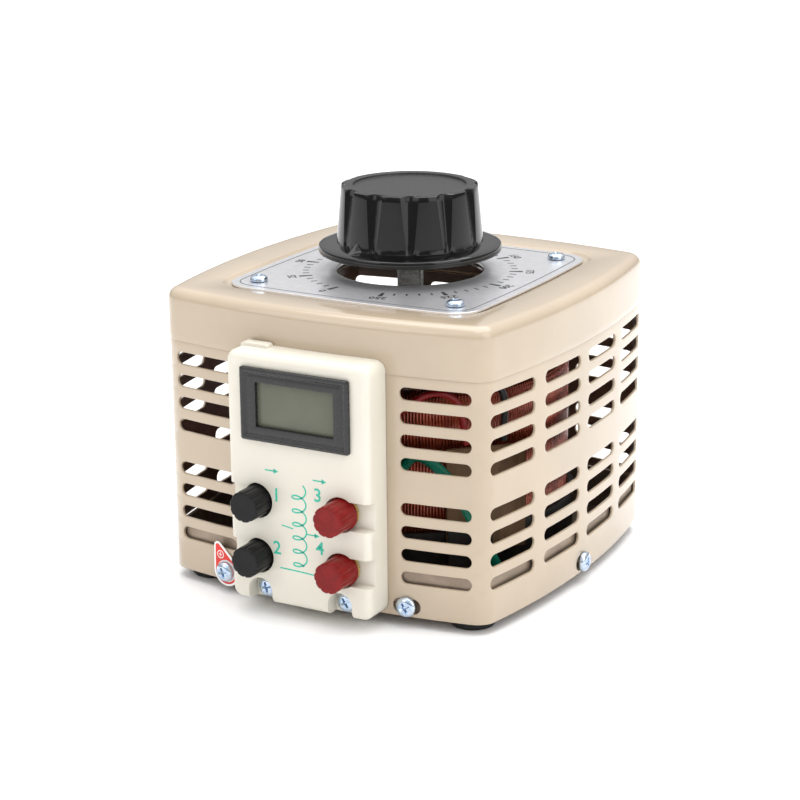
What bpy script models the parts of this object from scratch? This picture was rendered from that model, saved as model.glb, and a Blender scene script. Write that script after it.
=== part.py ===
"""Bench variac: a hand-turned autotransformer in a vented steel cover, with a meter and four binding posts.

Units are metres and +Z is up. The origin lies under the middle of the whole object, on the surface that its
feet stand on. Most pieces are placed from the knob's axis: the empty "axis" stands on it, level with the
cover's lower edge. Panel pieces are placed from the empty "panel", whose local +X is right, +Y up and +Z out.
"""

import math

import bmesh
import bpy
from mathutils import Matrix, Vector

MM = 0.001
GAP = 0.3 * MM
QUARTER = math.pi / 2

# Steel cover: a square whose sides bow out on large arcs between rounded corners.
CASE_HALF = 78.8 * MM
CASE_BOW = 359 * MM
CASE_CORNER = 8.4 * MM
CASE_TOP = 117.3 * MM
CASE_WALL = 1.2 * MM
CASE_FILLET = 4.5 * MM
SEAM = 97 * MM

# Vent slots, in two groups of rows.
SLOT_LENGTH = 28.7 * MM
SLOT_HEIGHT = 5.0 * MM
SLOT_TAPER = 1.75 * MM
SLOT_PITCH = 9.27 * MM
SLOT_ROWS = 4
SLOT_GROUPS = (16.0 * MM, 61.8 * MM)
SLOT_COLUMNS = (-54.3 * MM, -18.1 * MM, 18.1 * MM, 54.3 * MM)
FRONT_COLUMNS = (-52.05 * MM, 52.05 * MM)

# Dial plate and the shallow recess that it lies in.
RECESS_HALF = 58.4 * MM
RECESS_SLOPE = 1.5 * MM
RECESS_DEPTH = 1.4 * MM
PLATE_HALF = 56.9 * MM
PLATE_BOW = 800 * MM
PLATE_CORNER = 12 * MM
PLATE_THICK = 0.8 * MM
DIAL_HOLE = 30 * MM
DIAL_SCREW_AT = 44.5 * MM

# Base tray, feet and the screws that hold the cover to the tray.
TRAY_BOTTOM = 0.2 * MM
TRAY_FLOOR = 1.7 * MM
TRAY_TOP = 19 * MM
TRAY_RELIEF_Z = 14 * MM
FOOT_DROP = 4.5 * MM
FOOT_RADIUS = 9.5 * MM
FOOT_AT = 60 * MM
CASE_SCREW_Z = 4.4 * MM
CASE_SCREW_SHIFT = 40 * MM
CASE_SCREW_SLOT = 11.6 * MM
EARTH_SHIFT = -42.7 * MM

# Knob, shaft and bearing.
KNOB_TOP = 152.9 * MM
KNOB_TOP_RADIUS = 27.8 * MM
KNOB_FOOT_RADIUS = 29.8 * MM
KNOB_FLUTES = 12
SKIRT_RADIUS = 37.15 * MM
SKIRT_BOTTOM = 125.5 * MM
SKIRT_TOP = 129.2 * MM
SHAFT_RADIUS = 5.0 * MM
KNURL_RADIUS = 5.3 * MM
BORE_RADIUS = 5.35 * MM

# Toroid: a strip-wound core inside one layer of turns that leaves a short gap.
WINDING_OUTER = 64.8 * MM
WINDING_INNER = 28.2 * MM
WINDING_BOTTOM = 18.3 * MM
WINDING_TOP = 83.9 * MM
WINDING_WALL = 2.3 * MM

# Rotor angles, in degrees about +Z from +X. The pointer and brush arm rest at the dial's zero.
ZERO_ANGLE = -106
TRAVEL = 330
STOP_ANGLE = ZERO_ANGLE + (360 - TRAVEL) / 2
WINDING_SPARE = 5
ARM_Z = 94.3 * MM
ARM_THICK = 3 * MM
STOP_RADIUS = 30 * MM
STOP_POST_RADIUS = 2.8 * MM
BRUSH_RADIUS = 49 * MM

# Terminal panel, its meter and its binding posts, in the panel's own directions.
PANEL_SHIFT = 0.8 * MM
PANEL_HALF = 31.5 * MM
PANEL_LOW = 1 * MM
PANEL_HIGH = 102 * MM
PANEL_FRONT = 91.5 * MM
PANEL_EDGE = 2.5 * MM
POST_SPACING = 37.4 * MM
POST_HEIGHTS = (42.8 * MM, 20.2 * MM)
NOTCH_FLOOR = 87 * MM
NOTCH_HALF = 5.7 * MM
POCKET_RADIUS = 7.1 * MM
CAP_FRONT = 101.3 * MM
METER_MIDDLE = 82.1 * MM
METER_SIZE = (48 * MM, 29 * MM)
METER_BODY = (44.4 * MM, 25.4 * MM)
WINDOW_SIZE = (34.4 * MM, 17.6 * MM)
PANEL_SCREW_SPACING = 36 * MM
PANEL_SCREW_Z = 5.6 * MM

# Reach of the farthest pieces to the front and back, which puts the origin under the object's middle.
HEAD_HEIGHT = 2.4 * MM
BACK_REACH = CASE_HALF + GAP + HEAD_HEIGHT
AXIS_Y = (CAP_FRONT - BACK_REACH) / 2


def clear_scene():
    for obj in list(bpy.data.objects):
        bpy.data.objects.remove(obj, do_unlink=True)


def make_material(name, colour, roughness, metallic=0.0):
    material = bpy.data.materials.new(name)
    material.use_nodes = True
    shader = material.node_tree.nodes["Principled BSDF"]
    shader.inputs["Base Color"].default_value = (*colour, 1.0)
    shader.inputs["Roughness"].default_value = roughness
    shader.inputs["Metallic"].default_value = metallic
    material.diffuse_color = (*colour, 1.0)
    return material


def make_empty(name, location, parent=None, rotation=(0, 0, 0)):
    empty = bpy.data.objects.new(name, None)
    bpy.context.scene.collection.objects.link(empty)
    empty.location = location
    empty.rotation_euler = rotation
    empty.parent = parent
    return empty


def make_object(name, bm, material, parent, location=(0, 0, 0), rotation=(0, 0, 0), smooth=True):
    bmesh.ops.recalc_face_normals(bm, faces=bm.faces)
    mesh = bpy.data.meshes.new(name)
    bm.to_mesh(mesh)
    bm.free()
    if smooth:
        mesh.shade_smooth()
        mesh.set_sharp_from_angle(angle=math.radians(35))
    obj = bpy.data.objects.new(name, mesh)
    bpy.context.scene.collection.objects.link(obj)
    obj.location = location
    obj.rotation_euler = rotation
    obj.parent = parent
    if material is not None:
        mesh.materials.append(material)
    return obj


def make_cutter(name, bm, parent, location=(0, 0, 0), rotation=(0, 0, 0)):
    cutter = make_object(name, bm, None, parent, location, rotation, smooth=False)
    cutter.hide_render = True
    cutter.display_type = "WIRE"
    return cutter


def combine(obj, other, operation="DIFFERENCE"):
    boolean = obj.modifiers.new(other.name, "BOOLEAN")
    boolean.object = other
    boolean.operation = operation
    boolean.solver = "EXACT"


def ring_points(radius, steps, z, turn=0.0):
    angles = [turn + 2 * math.pi * i / steps for i in range(steps)]
    return [Vector((radius * math.cos(a), radius * math.sin(a), z)) for a in angles]


def bridge(bm, lower, upper):
    """Joins two closed loops with the same number of points."""
    for i, vert in enumerate(lower):
        j = (i + 1) % len(lower)
        bm.faces.new((vert, lower[j], upper[j], upper[i]))


def add_turned(bm, profile, steps, turn=0.0):
    """Turns a closed outline of (radius, z) points about Z. A radius of zero makes a single point."""
    loops = []
    for radius, z in profile:
        if radius > 0:
            loops.append([bm.verts.new(p) for p in ring_points(radius, steps, z, turn)])
        else:
            loops.append([bm.verts.new((0, 0, z))])
    for a, b in zip(loops, loops[1:] + loops[:1]):
        if len(a) > 1 and len(b) > 1:
            bridge(bm, a, b)
        elif len(a) + len(b) > 2:
            ring, tip = (a, b[0]) if len(a) > 1 else (b, a[0])
            for i, vert in enumerate(ring):
                bm.faces.new((vert, ring[(i + 1) % steps], tip))


def turned(profile, steps, turn=0.0):
    bm = bmesh.new()
    add_turned(bm, profile, steps, turn)
    return bm


def add_cylinder(bm, radius, low, high, steps, centre=(0, 0), turn=0.0):
    """A plain cylinder along Z with flat ends."""
    loops = []
    for z in (low, high):
        points = ring_points(radius, steps, z, turn)
        loops.append([bm.verts.new(p + Vector((*centre, 0))) for p in points])
    bridge(bm, *loops)
    bm.faces.new(loops[0])
    bm.faces.new(loops[1])


def cylinder(radius, low, high, steps, turn=0.0):
    bm = bmesh.new()
    add_cylinder(bm, radius, low, high, steps, turn=turn)
    return bm


def add_prism(bm, outline, low, high):
    """Raises a closed outline of (x, y) points from one height to another."""
    loops = [[bm.verts.new((x, y, z)) for x, y in outline] for z in (low, high)]
    bridge(bm, *loops)
    bm.faces.new(loops[0])
    bm.faces.new(loops[1])


def prism(outline, low, high):
    bm = bmesh.new()
    add_prism(bm, outline, low, high)
    return bm


def add_box(bm, size, centre):
    matrix = Matrix.Translation(centre) @ Matrix.Diagonal((*size, 1))
    bmesh.ops.create_cube(bm, size=1, matrix=matrix)


def box(size, centre):
    bm = bmesh.new()
    add_box(bm, size, centre)
    return bm


def rounded_rectangle(half_x, half_y, radius, steps=3):
    """Corner arcs of a rectangle about the origin, counterclockwise."""
    points = []
    for corner, (sx, sy) in enumerate(((1, 1), (-1, 1), (-1, -1), (1, -1))):
        for i in range(steps + 1):
            angle = QUARTER * (corner + i / steps)
            x = sx * (half_x - radius) + radius * math.cos(angle)
            y = sy * (half_y - radius) + radius * math.sin(angle)
            points.append((x, y))
    return points


# ---- The bowed square that the cover, tray and dial plate share ----


class BowedSquare:
    """Four arcs of radius bow joined by corner arcs. place runs from -2 to 2 along each side.

    -1 to 1 covers the side's own arc, and beyond that lie the near halves of the two corner arcs.
    """

    def __init__(self, half, bow, corner):
        reach = bow - half
        span = bow - corner
        self.half, self.bow, self.corner = half, bow, corner
        self.middle = (math.sqrt(2 * span * span - reach * reach) - reach) / 2
        self.swing = math.asin(self.middle / span)

    def inset(self, distance):
        return BowedSquare(self.half - distance, self.bow - distance, self.corner - distance)

    def place_of(self, along):
        """The place at this distance along the outline from the middle of a side."""
        side = self.bow * self.swing
        if abs(along) <= side:
            return along / side
        corner = self.corner * (math.pi / 4 - self.swing)
        return math.copysign(1 + (abs(along) - side) / corner, along)

    def point(self, side, place, z=0.0):
        turn = side * QUARTER
        if abs(place) <= 1:
            angle = self.swing * place
            x = self.half - self.bow + self.bow * math.cos(angle)
            y = self.bow * math.sin(angle)
        else:
            sign = math.copysign(1, place)
            angle = self.swing + (math.pi / 4 - self.swing) * (abs(place) - 1)
            x = self.middle + self.corner * math.cos(angle)
            y = sign * (self.middle + self.corner * math.sin(angle))
        return Vector(
            (x * math.cos(turn) - y * math.sin(turn), x * math.sin(turn) + y * math.cos(turn), z)
        )

    def face_angle(self, along):
        """How far the outward direction has turned at a distance along the side."""
        return along / self.bow


CASE = BowedSquare(CASE_HALF, CASE_BOW, CASE_CORNER)
PLATE = BowedSquare(PLATE_HALF, PLATE_BOW, PLATE_CORNER)
RECESS = BowedSquare(RECESS_HALF, PLATE_BOW, PLATE_CORNER + 1.5 * MM)
RIGHT, BACK, LEFT, FRONT = range(4)
SIMPLE_PLACES = (-1.5, -1, -0.5, 0, 0.5, 1, 1.5, 2)


def square_loop(bm, shape, z, places=SIMPLE_PLACES):
    return [bm.verts.new(shape.point(side, place, z)) for side in range(4) for place in places]


# ---- Case: a slotted wall and a drawn top ----


def wall_holes(side):
    """Each hole is (height of its middle, {distance along the side: half height})."""
    columns = FRONT_COLUMNS if side == FRONT else SLOT_COLUMNS
    half = SLOT_HEIGHT / 2
    holes = []
    for column in columns:
        end = SLOT_LENGTH / 2
        shape = {
            column - end: half / 2,
            column - end + SLOT_TAPER: half,
            column + end - SLOT_TAPER: half,
            column + end: half / 2,
        }
        for low in SLOT_GROUPS:
            holes += [(low + row * SLOT_PITCH, shape) for row in range(SLOT_ROWS)]
    if side == FRONT:
        for middle, height in ((METER_MIDDLE, METER_BODY[1]), (31.5 * MM, 40 * MM)):
            edge = METER_BODY[0] / 2 + 1.5 * MM
            opening = {PANEL_SHIFT + share * edge: height / 2 for share in (-1, 0, 1)}
            holes.append((middle, opening))
    return [(z, {CASE.place_of(s): h for s, h in shape.items()}) for z, shape in holes]


def wall_stations():
    """Vertical lines of the wall, in order round the case: (side, place, that side's holes)."""
    stations = []
    for side in range(4):
        holes = wall_holes(side)
        places = {place for _, shape in holes for place in shape} | {2.0}
        stations += [(side, place, holes) for place in sorted(places)]
    return stations


def band_holes(first, second):
    """Holes that run right across the band between two neighbouring stations, lowest first."""
    if first[0] != second[0]:
        return []
    found = [h for h in first[2] if first[1] in h[1] and second[1] in h[1]]
    return sorted(found, key=lambda hole: hole[0])


def add_wall(bm, wall_top):
    """The slotted side wall, as two skins joined at the holes and along both edges."""
    stations = wall_stations()
    skins = (CASE, CASE.inset(CASE_WALL))
    marks = []
    for side, place, holes in stations:
        heights = {0.0, wall_top}
        for z, shape in holes:
            if place in shape:
                heights |= {z - shape[place], z + shape[place]}
        marks.append(
            [{z: bm.verts.new(s.point(side, place, z)) for z in sorted(heights)} for s in skins]
        )
    for i, first in enumerate(stations):
        j = (i + 1) % len(stations)
        second = stations[j]
        lower = (0.0, 0.0)
        for z, shape in band_holes(first, second):
            halves = (shape[first[1]], shape[second[1]])
            upper = (z - halves[0], z - halves[1])
            add_band(bm, marks[i], marks[j], lower, upper)
            for sign in (-1, 1):
                at = (z + sign * halves[0], z + sign * halves[1])
                bm.faces.new(
                    (marks[i][0][at[0]], marks[j][0][at[1]], marks[j][1][at[1]], marks[i][1][at[0]])
                )
            lower = (z + halves[0], z + halves[1])
        add_band(bm, marks[i], marks[j], lower, (wall_top, wall_top))
        bm.faces.new((marks[i][0][0.0], marks[j][0][0.0], marks[j][1][0.0], marks[i][1][0.0]))
        for z, shape in first[2]:
            if first[1] in (min(shape), max(shape)):
                low, high = z - shape[first[1]], z + shape[first[1]]
                outer, inner = marks[i]
                bm.faces.new((outer[low], outer[high], inner[high], inner[low]))
    bridge(bm, *[[mark[skin][wall_top] for mark in marks] for skin in (0, 1)])


def add_band(bm, first, second, lower, upper):
    """Both skins of one piece of wall between two stations, with every point on its two edges."""
    for skin in (0, 1):
        left = [v for z, v in first[skin].items() if lower[0] <= z <= upper[0]]
        right = [v for z, v in second[skin].items() if lower[1] <= z <= upper[1]]
        bm.faces.new(left[::-1] + right)


def make_case_top(parent, paint):
    """The drawn top: a short skirt, the rounded edge, the recess and the round hole in its floor."""
    places = [0.25 * i for i in range(-7, 9)]
    turn_in = 1 - math.sqrt(0.5)
    wall_top = CASE_TOP - CASE_FILLET
    floor = CASE_TOP - RECESS_DEPTH
    slope = RECESS.inset(-RECESS_SLOPE)
    bm = bmesh.new()
    feet, rims = [], []
    for drop in (0, CASE_WALL):
        shape = CASE.inset(drop)
        radius = CASE_FILLET - drop
        rings = [
            (shape, SEAM + GAP),
            (shape, wall_top),
            (shape.inset(radius * turn_in), wall_top + radius * math.sqrt(0.5)),
            (shape.inset(radius), CASE_TOP - drop),
            (slope, CASE_TOP - drop),
            (RECESS, floor - drop),
        ]
        loops = [square_loop(bm, outline, z, places) for outline, z in rings]
        hole = []
        for vert in loops[-1]:
            around = Vector((vert.co.x, vert.co.y)).normalized() * DIAL_HOLE
            hole.append(bm.verts.new((around.x, around.y, floor - drop)))
        loops.append(hole)
        for low, high in zip(loops, loops[1:]):
            bridge(bm, low, high)
        feet.append(loops[0])
        rims.append(hole)
    bridge(bm, *feet)
    bridge(bm, *rims)
    top = make_object("case_top", bm, paint, parent)
    holes = bmesh.new()
    for x, y in CORNERS:
        add_cylinder(holes, 2.2 * MM, CASE_TOP - 5 * MM, CASE_TOP + 1 * MM, 10, (x, y))
    combine(top, make_cutter("top_holes", holes, parent))


def side_turn(side, along):
    """Rotation that points a piece's +Z straight out of the case at this place on a side."""
    angle = side * QUARTER + CASE.face_angle(along)
    return (QUARTER, 0, angle + QUARTER)


def side_point(side, along, z, out=0.0):
    return CASE.inset(-out).point(side, CASE.place_of(along), z)


CASE_SCREWS = {
    "case_screw_front": (FRONT, CASE_SCREW_SHIFT),
    "case_screw_right": (RIGHT, 0.0),
    "case_screw_left": (LEFT, 0.0),
    "case_screw_back": (BACK, 0.0),
}
EARTH_SCREW = (FRONT, EARTH_SHIFT)
PANEL_SCREWS = {
    "panel_screw_left": PANEL_SHIFT - PANEL_SCREW_SPACING / 2,
    "panel_screw_right": PANEL_SHIFT + PANEL_SCREW_SPACING / 2,
}
FOOT_PLACES = {
    "foot_front_left": (-FOOT_AT, -FOOT_AT),
    "foot_front_right": (FOOT_AT, -FOOT_AT),
    "foot_back_left": (-FOOT_AT, FOOT_AT),
    "foot_back_right": (FOOT_AT, FOOT_AT),
}
CORNERS = [(x, y) for x in (-DIAL_SCREW_AT, DIAL_SCREW_AT) for y in (-DIAL_SCREW_AT, DIAL_SCREW_AT)]


def through_side(bm, side, along, z, outline):
    """A short cutter through the wall, from an outline drawn as seen from outside."""
    where = Matrix.Translation(side_point(side, along, z))
    angle = side_turn(side, along)[2]
    matrix = where @ Matrix.Rotation(angle, 4, "Z") @ Matrix.Rotation(QUARTER, 4, "X")
    before = set(bm.verts)
    add_prism(bm, outline, -6 * MM, 4 * MM)
    new = [v for v in bm.verts if v not in before]
    bmesh.ops.transform(bm, matrix=matrix, verts=new)


def round_outline(radius, steps):
    return [(p.x, p.y) for p in ring_points(radius, steps, 0, math.pi / steps)]


def make_case_wall(parent, paint):
    bm = bmesh.new()
    add_wall(bm, SEAM)
    wall = make_object("case_wall", bm, paint, parent)
    holes = bmesh.new()
    slot = rounded_rectangle(CASE_SCREW_SLOT / 2, 3.1 * MM, 3.1 * MM, 3)
    for side, along in (*CASE_SCREWS.values(), EARTH_SCREW):
        through_side(holes, side, along, CASE_SCREW_Z, slot)
    for along in PANEL_SCREWS.values():
        through_side(holes, FRONT, along, PANEL_SCREW_Z, round_outline(2.3 * MM, 8))
    combine(wall, make_cutter("wall_cuts", holes, parent))


# ---- Dial plate ----


def make_dial_plate(parent, aluminium):
    low = CASE_TOP - RECESS_DEPTH + GAP
    places = (-1.33, -1, 0, 1, 1.33, 1.67, 2, -1.67)
    ordered = sorted(places)
    bm = bmesh.new()
    loops = []
    for z in (low, low + PLATE_THICK):
        outer = square_loop(bm, PLATE, z, ordered)
        hole = []
        for vert in outer:
            around = Vector((vert.co.x, vert.co.y)).normalized() * DIAL_HOLE
            hole.append(bm.verts.new((around.x, around.y, z)))
        loops.append((outer, hole))
    bridge(bm, loops[0][0], loops[1][0])
    bridge(bm, loops[0][1], loops[1][1])
    for outer, hole in loops:
        bridge(bm, outer, hole)
    plate = make_object("dial_plate", bm, aluminium, parent)
    holes = bmesh.new()
    for x, y in CORNERS:
        add_cylinder(holes, 2.2 * MM, low - 2 * MM, low + 4 * MM, 10, (x, y))
    combine(plate, make_cutter("plate_holes", holes, parent))
    return low + PLATE_THICK


# ---- Screws ----


def pan_screw(head_radius, head_height, shank_radius, shank_length, steps=12):
    """A pan head above z = 0 with its shank below."""
    return turned(
        [
            (0, -shank_length),
            (shank_radius, -shank_length),
            (shank_radius, 0),
            (head_radius, 0),
            (head_radius, head_height * 0.45),
            (head_radius * 0.72, head_height * 0.92),
            (0, head_height),
        ],
        steps,
    )


def make_outer_screws(parent, plate_top, zinc):
    names = ("front_left", "back_left", "front_right", "back_right")
    for name, (x, y) in zip(names, CORNERS):
        bm = pan_screw(3.6 * MM, 2.2 * MM, 1.8 * MM, 6 * MM)
        make_object("dial_screw_" + name, bm, zinc, parent, (x, y, plate_top + GAP))
    for name, (side, along) in CASE_SCREWS.items():
        bm = pan_screw(4.1 * MM, HEAD_HEIGHT, 1.9 * MM, 7 * MM)
        place = side_point(side, along, CASE_SCREW_Z, GAP)
        make_object(name, bm, zinc, parent, place, side_turn(side, along))
    side, along = EARTH_SCREW
    bm = pan_screw(4.1 * MM, HEAD_HEIGHT, 1.9 * MM, 8 * MM)
    place = side_point(side, along, CASE_SCREW_Z, 1.2 * MM)
    make_object("earth_screw", bm, zinc, parent, place, side_turn(side, along))
    for name, along in PANEL_SCREWS.items():
        bm = pan_screw(4.1 * MM, HEAD_HEIGHT, 1.9 * MM, 12 * MM)
        place = (along, -(NOTCH_FLOOR - 2 * MM + GAP), PANEL_SCREW_Z)
        make_object(name, bm, zinc, parent, place, (QUARTER, 0, 0))


def make_earth_tag(parent, paint):
    """A flat teardrop under the earth screw, leaning to the left."""
    side, along = EARTH_SCREW
    round_radius, tip_radius, reach = 6.4 * MM, 1.9 * MM, 10.8 * MM
    lean = math.radians(113)
    open_angle = math.acos((round_radius - tip_radius) / reach)
    points = []
    for i in range(11):
        angle = lean + open_angle + (2 * math.pi - 2 * open_angle) * i / 10
        points.append((round_radius * math.cos(angle), round_radius * math.sin(angle)))
    tip = (reach * math.cos(lean), reach * math.sin(lean))
    for i in range(5):
        angle = lean - open_angle + 2 * open_angle * i / 4
        points.append((tip[0] + tip_radius * math.cos(angle), tip[1] + tip_radius * math.sin(angle)))
    bm = prism(points, 0, 0.4 * MM)
    place = side_point(side, along, CASE_SCREW_Z, 0.5 * MM)
    tag = make_object("earth_tag", bm, paint, parent, place, side_turn(side, along), smooth=False)
    hole = make_cutter(
        "tag_hole", cylinder(2.3 * MM, -1 * MM, 2 * MM, 10), parent, place, side_turn(side, along)
    )
    combine(tag, hole)


# ---- Base tray and feet ----


def make_base(parent, steel, rubber):
    outer = CASE.inset(CASE_WALL + 2 * GAP)
    inner = outer.inset(CASE_WALL)
    bm = bmesh.new()
    loops = [
        square_loop(bm, outer, TRAY_BOTTOM),
        square_loop(bm, outer, TRAY_TOP),
        square_loop(bm, inner, TRAY_TOP),
        square_loop(bm, inner, TRAY_FLOOR),
    ]
    for low, high in zip(loops, loops[1:]):
        bridge(bm, low, high)
    bm.faces.new(loops[0])
    bm.faces.new(loops[-1])
    tray = make_object("base_plate", bm, steel, parent)
    holes = bmesh.new()
    for x, y in FOOT_PLACES.values():
        add_cylinder(holes, 3.4 * MM, TRAY_BOTTOM - MM, TRAY_FLOOR + MM, 10, (x, y))
    for place in tie_bolt_places():
        add_cylinder(holes, 2.6 * MM, TRAY_BOTTOM - MM, TRAY_FLOOR + MM, 10, place)
    for side, along in (*CASE_SCREWS.values(), EARTH_SCREW):
        through_side(holes, side, along, CASE_SCREW_Z, round_outline(2.3 * MM, 8))
    for along in PANEL_SCREWS.values():
        through_side(holes, FRONT, along, PANEL_SCREW_Z, round_outline(2.3 * MM, 8))
    relief = (2 * PANEL_HALF, 12 * MM, 2 * (TRAY_TOP - TRAY_RELIEF_Z))
    add_box(holes, relief, (PANEL_SHIFT, -CASE_HALF, TRAY_TOP))
    combine(tray, make_cutter("tray_holes", holes, parent))
    profile = [
        (0, -FOOT_DROP),
        (FOOT_RADIUS - 1 * MM, -FOOT_DROP),
        (FOOT_RADIUS, -FOOT_DROP + 1 * MM),
        (FOOT_RADIUS, TRAY_BOTTOM - GAP),
        (3.0 * MM, TRAY_BOTTOM - GAP),
        (3.0 * MM, TRAY_FLOOR + GAP),
        (4.4 * MM, TRAY_FLOOR + GAP),
        (3.0 * MM, TRAY_FLOOR + 2.2 * MM),
        (0, TRAY_FLOOR + 2.2 * MM),
    ]
    for name, (x, y) in FOOT_PLACES.items():
        make_object(name, turned(profile, 16), rubber, parent, (x, y, 0))


# ---- Toroid ----


def arc_of_winding():
    """Start angle and length of the wound part, in degrees."""
    wound = TRAVEL + 2 * WINDING_SPARE
    return ZERO_ANGLE + WINDING_SPARE - wound, wound


def make_winding(parent, copper, core_steel):
    start, wound = arc_of_winding()
    steps = 34
    wall = WINDING_WALL
    frame = [
        (WINDING_INNER, WINDING_BOTTOM),
        (WINDING_OUTER, WINDING_BOTTOM),
        (WINDING_OUTER, WINDING_TOP),
        (WINDING_INNER, WINDING_TOP),
    ]
    hollow = [
        (WINDING_INNER + wall, WINDING_BOTTOM + wall),
        (WINDING_OUTER - wall, WINDING_BOTTOM + wall),
        (WINDING_OUTER - wall, WINDING_TOP - wall),
        (WINDING_INNER + wall, WINDING_TOP - wall),
    ]
    bm = bmesh.new()
    sections = []
    for i in range(steps + 1):
        angle = math.radians(start + wound * i / steps)
        sections.append(
            [
                [bm.verts.new((r * math.cos(angle), r * math.sin(angle), z)) for r, z in corners]
                for corners in (frame, hollow)
            ]
        )
    for first, second in zip(sections, sections[1:]):
        bridge_skins(bm, first, second)
    for end in (sections[0], sections[-1]):
        bridge(bm, end[0], end[1])
    make_object("winding", bm, copper, parent)
    slack = wall + 0.6 * MM
    core = [
        (WINDING_INNER + slack, WINDING_BOTTOM + slack),
        (WINDING_OUTER - slack, WINDING_BOTTOM + slack),
        (WINDING_OUTER - slack, WINDING_TOP - slack),
        (WINDING_INNER + slack, WINDING_TOP - slack),
    ]
    make_object("toroid_core", turned(core, 36, math.radians(start)), core_steel, parent)


def bridge_skins(bm, first, second):
    for a, b in zip(first, second):
        bridge(bm, a, b)


def tie_bolt_places():
    angles = [math.radians(STOP_ANGLE + 60 + 120 * i) for i in range(3)]
    return [(24 * MM * math.cos(a), 24 * MM * math.sin(a)) for a in angles]


def make_mounting(parent, phenolic, steel, brass, bronze):
    """What holds the toroid down and carries the shaft."""
    bottom = TRAY_FLOOR + GAP
    shelf = WINDING_BOTTOM - GAP
    lip = WINDING_OUTER + 0.5 * MM
    ring = [
        (44 * MM, shelf - 4 * MM),
        (62 * MM, shelf - 4 * MM),
        (62 * MM, bottom),
        (lip + 2 * MM, bottom),
        (lip + 2 * MM, 27 * MM),
        (lip, 27 * MM),
        (lip, shelf),
        (44 * MM, shelf),
    ]
    make_object("support_ring", turned(ring, 36), phenolic, parent)
    clamp_low = WINDING_TOP + GAP
    clamp_high = clamp_low + 3 * MM
    clamp = [(12 * MM, clamp_low), (34 * MM, clamp_low), (34 * MM, clamp_high), (12 * MM, clamp_high)]
    plate = make_object("clamp_plate", turned(clamp, 32), phenolic, parent)
    holes = bmesh.new()
    for place in tie_bolt_places():
        add_cylinder(holes, 2.6 * MM, clamp_low - MM, clamp_high + MM, 10, place)
    combine(plate, make_cutter("clamp_holes", holes, parent))
    head = clamp_high + GAP
    for i, (x, y) in enumerate(tie_bolt_places()):
        bm = turned(
            [
                (0, TRAY_BOTTOM),
                (2.2 * MM, TRAY_BOTTOM),
                (2.2 * MM, head),
                (4.1 * MM, head),
                (4.1 * MM, head + 3 * MM),
                (0, head + 3 * MM),
            ],
            12,
        )
        make_object("tie_bolt_%d" % (i + 1), bm, steel, parent, (x, y, 0))
    tube = [
        (BORE_RADIUS, bottom),
        (15 * MM, bottom),
        (15 * MM, bottom + 3 * MM),
        (9.5 * MM, bottom + 3 * MM),
        (9.5 * MM, clamp_low),
        (7 * MM, clamp_low),
        (7 * MM, 17 * MM),
        (BORE_RADIUS, 17 * MM),
    ]
    make_object("bearing_tube", turned(tube, 24), steel, parent)
    flange = clamp_low + GAP
    upper = [
        (BORE_RADIUS, 70 * MM),
        (6.65 * MM, 70 * MM),
        (6.65 * MM, flange),
        (9.2 * MM, flange),
        (9.2 * MM, flange + 1.2 * MM),
        (BORE_RADIUS, flange + 1.2 * MM),
    ]
    make_object("bush_upper", turned(upper, 24), bronze, parent)
    slip = clamp_high + GAP
    ring = [(12.8 * MM, slip), (18 * MM, slip), (18 * MM, slip + 1.2 * MM), (12.8 * MM, slip + 1.2 * MM)]
    make_object("collector_ring", turned(ring, 24), brass, parent)
    angle = math.radians(STOP_ANGLE)
    place = (STOP_RADIUS * math.cos(angle), STOP_RADIUS * math.sin(angle), slip)
    make_object("stop_post", cylinder(STOP_POST_RADIUS, 0, 11.5 * MM, 12), steel, parent, place)
    return flange + 1.2 * MM


def make_corner_board(parent, laminate, steel):
    """An insulating board on an angle bracket that stands on the tray, towards the front right corner."""
    angle = math.radians(-45)
    place = (56.6 * MM, -42.4 * MM, 0)
    low, high = 20 * MM, 62 * MM
    bm = box((1.6 * MM, 32 * MM, high - low), (0, 0, (low + high) / 2))
    make_object("insulating_board", bm, laminate, parent, place, (0, 0, angle), smooth=False)
    foot = TRAY_FLOOR + GAP
    near, far = 0.8 * MM + GAP, 9.5 * MM
    sheet = 1.5 * MM
    profile = [
        (near, foot),
        (far, foot),
        (far, foot + sheet),
        (near + sheet, foot + sheet),
        (near + sheet, 32 * MM),
        (near, 32 * MM),
    ]
    bracket = prism(profile, -2 * MM, 16 * MM)
    bmesh.ops.rotate(bracket, verts=bracket.verts, matrix=Matrix.Rotation(QUARTER, 3, "X"))
    make_object("board_bracket", bracket, steel, parent, place, (0, 0, angle), smooth=False)


# ---- Rotor: knob, shaft and brush gear ----


def knob_loop(bm, crest, valley, z):
    """A fluted outline: narrow crests between shallow hollows."""
    points = []
    for i in range(KNOB_FLUTES):
        for share, radius in ((0, crest), (0.3, crest), (0.5, valley), (0.8, valley)):
            angle = 2 * math.pi * (i + share) / KNOB_FLUTES
            points.append(bm.verts.new((radius * math.cos(angle), radius * math.sin(angle), z)))
    return points


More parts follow.
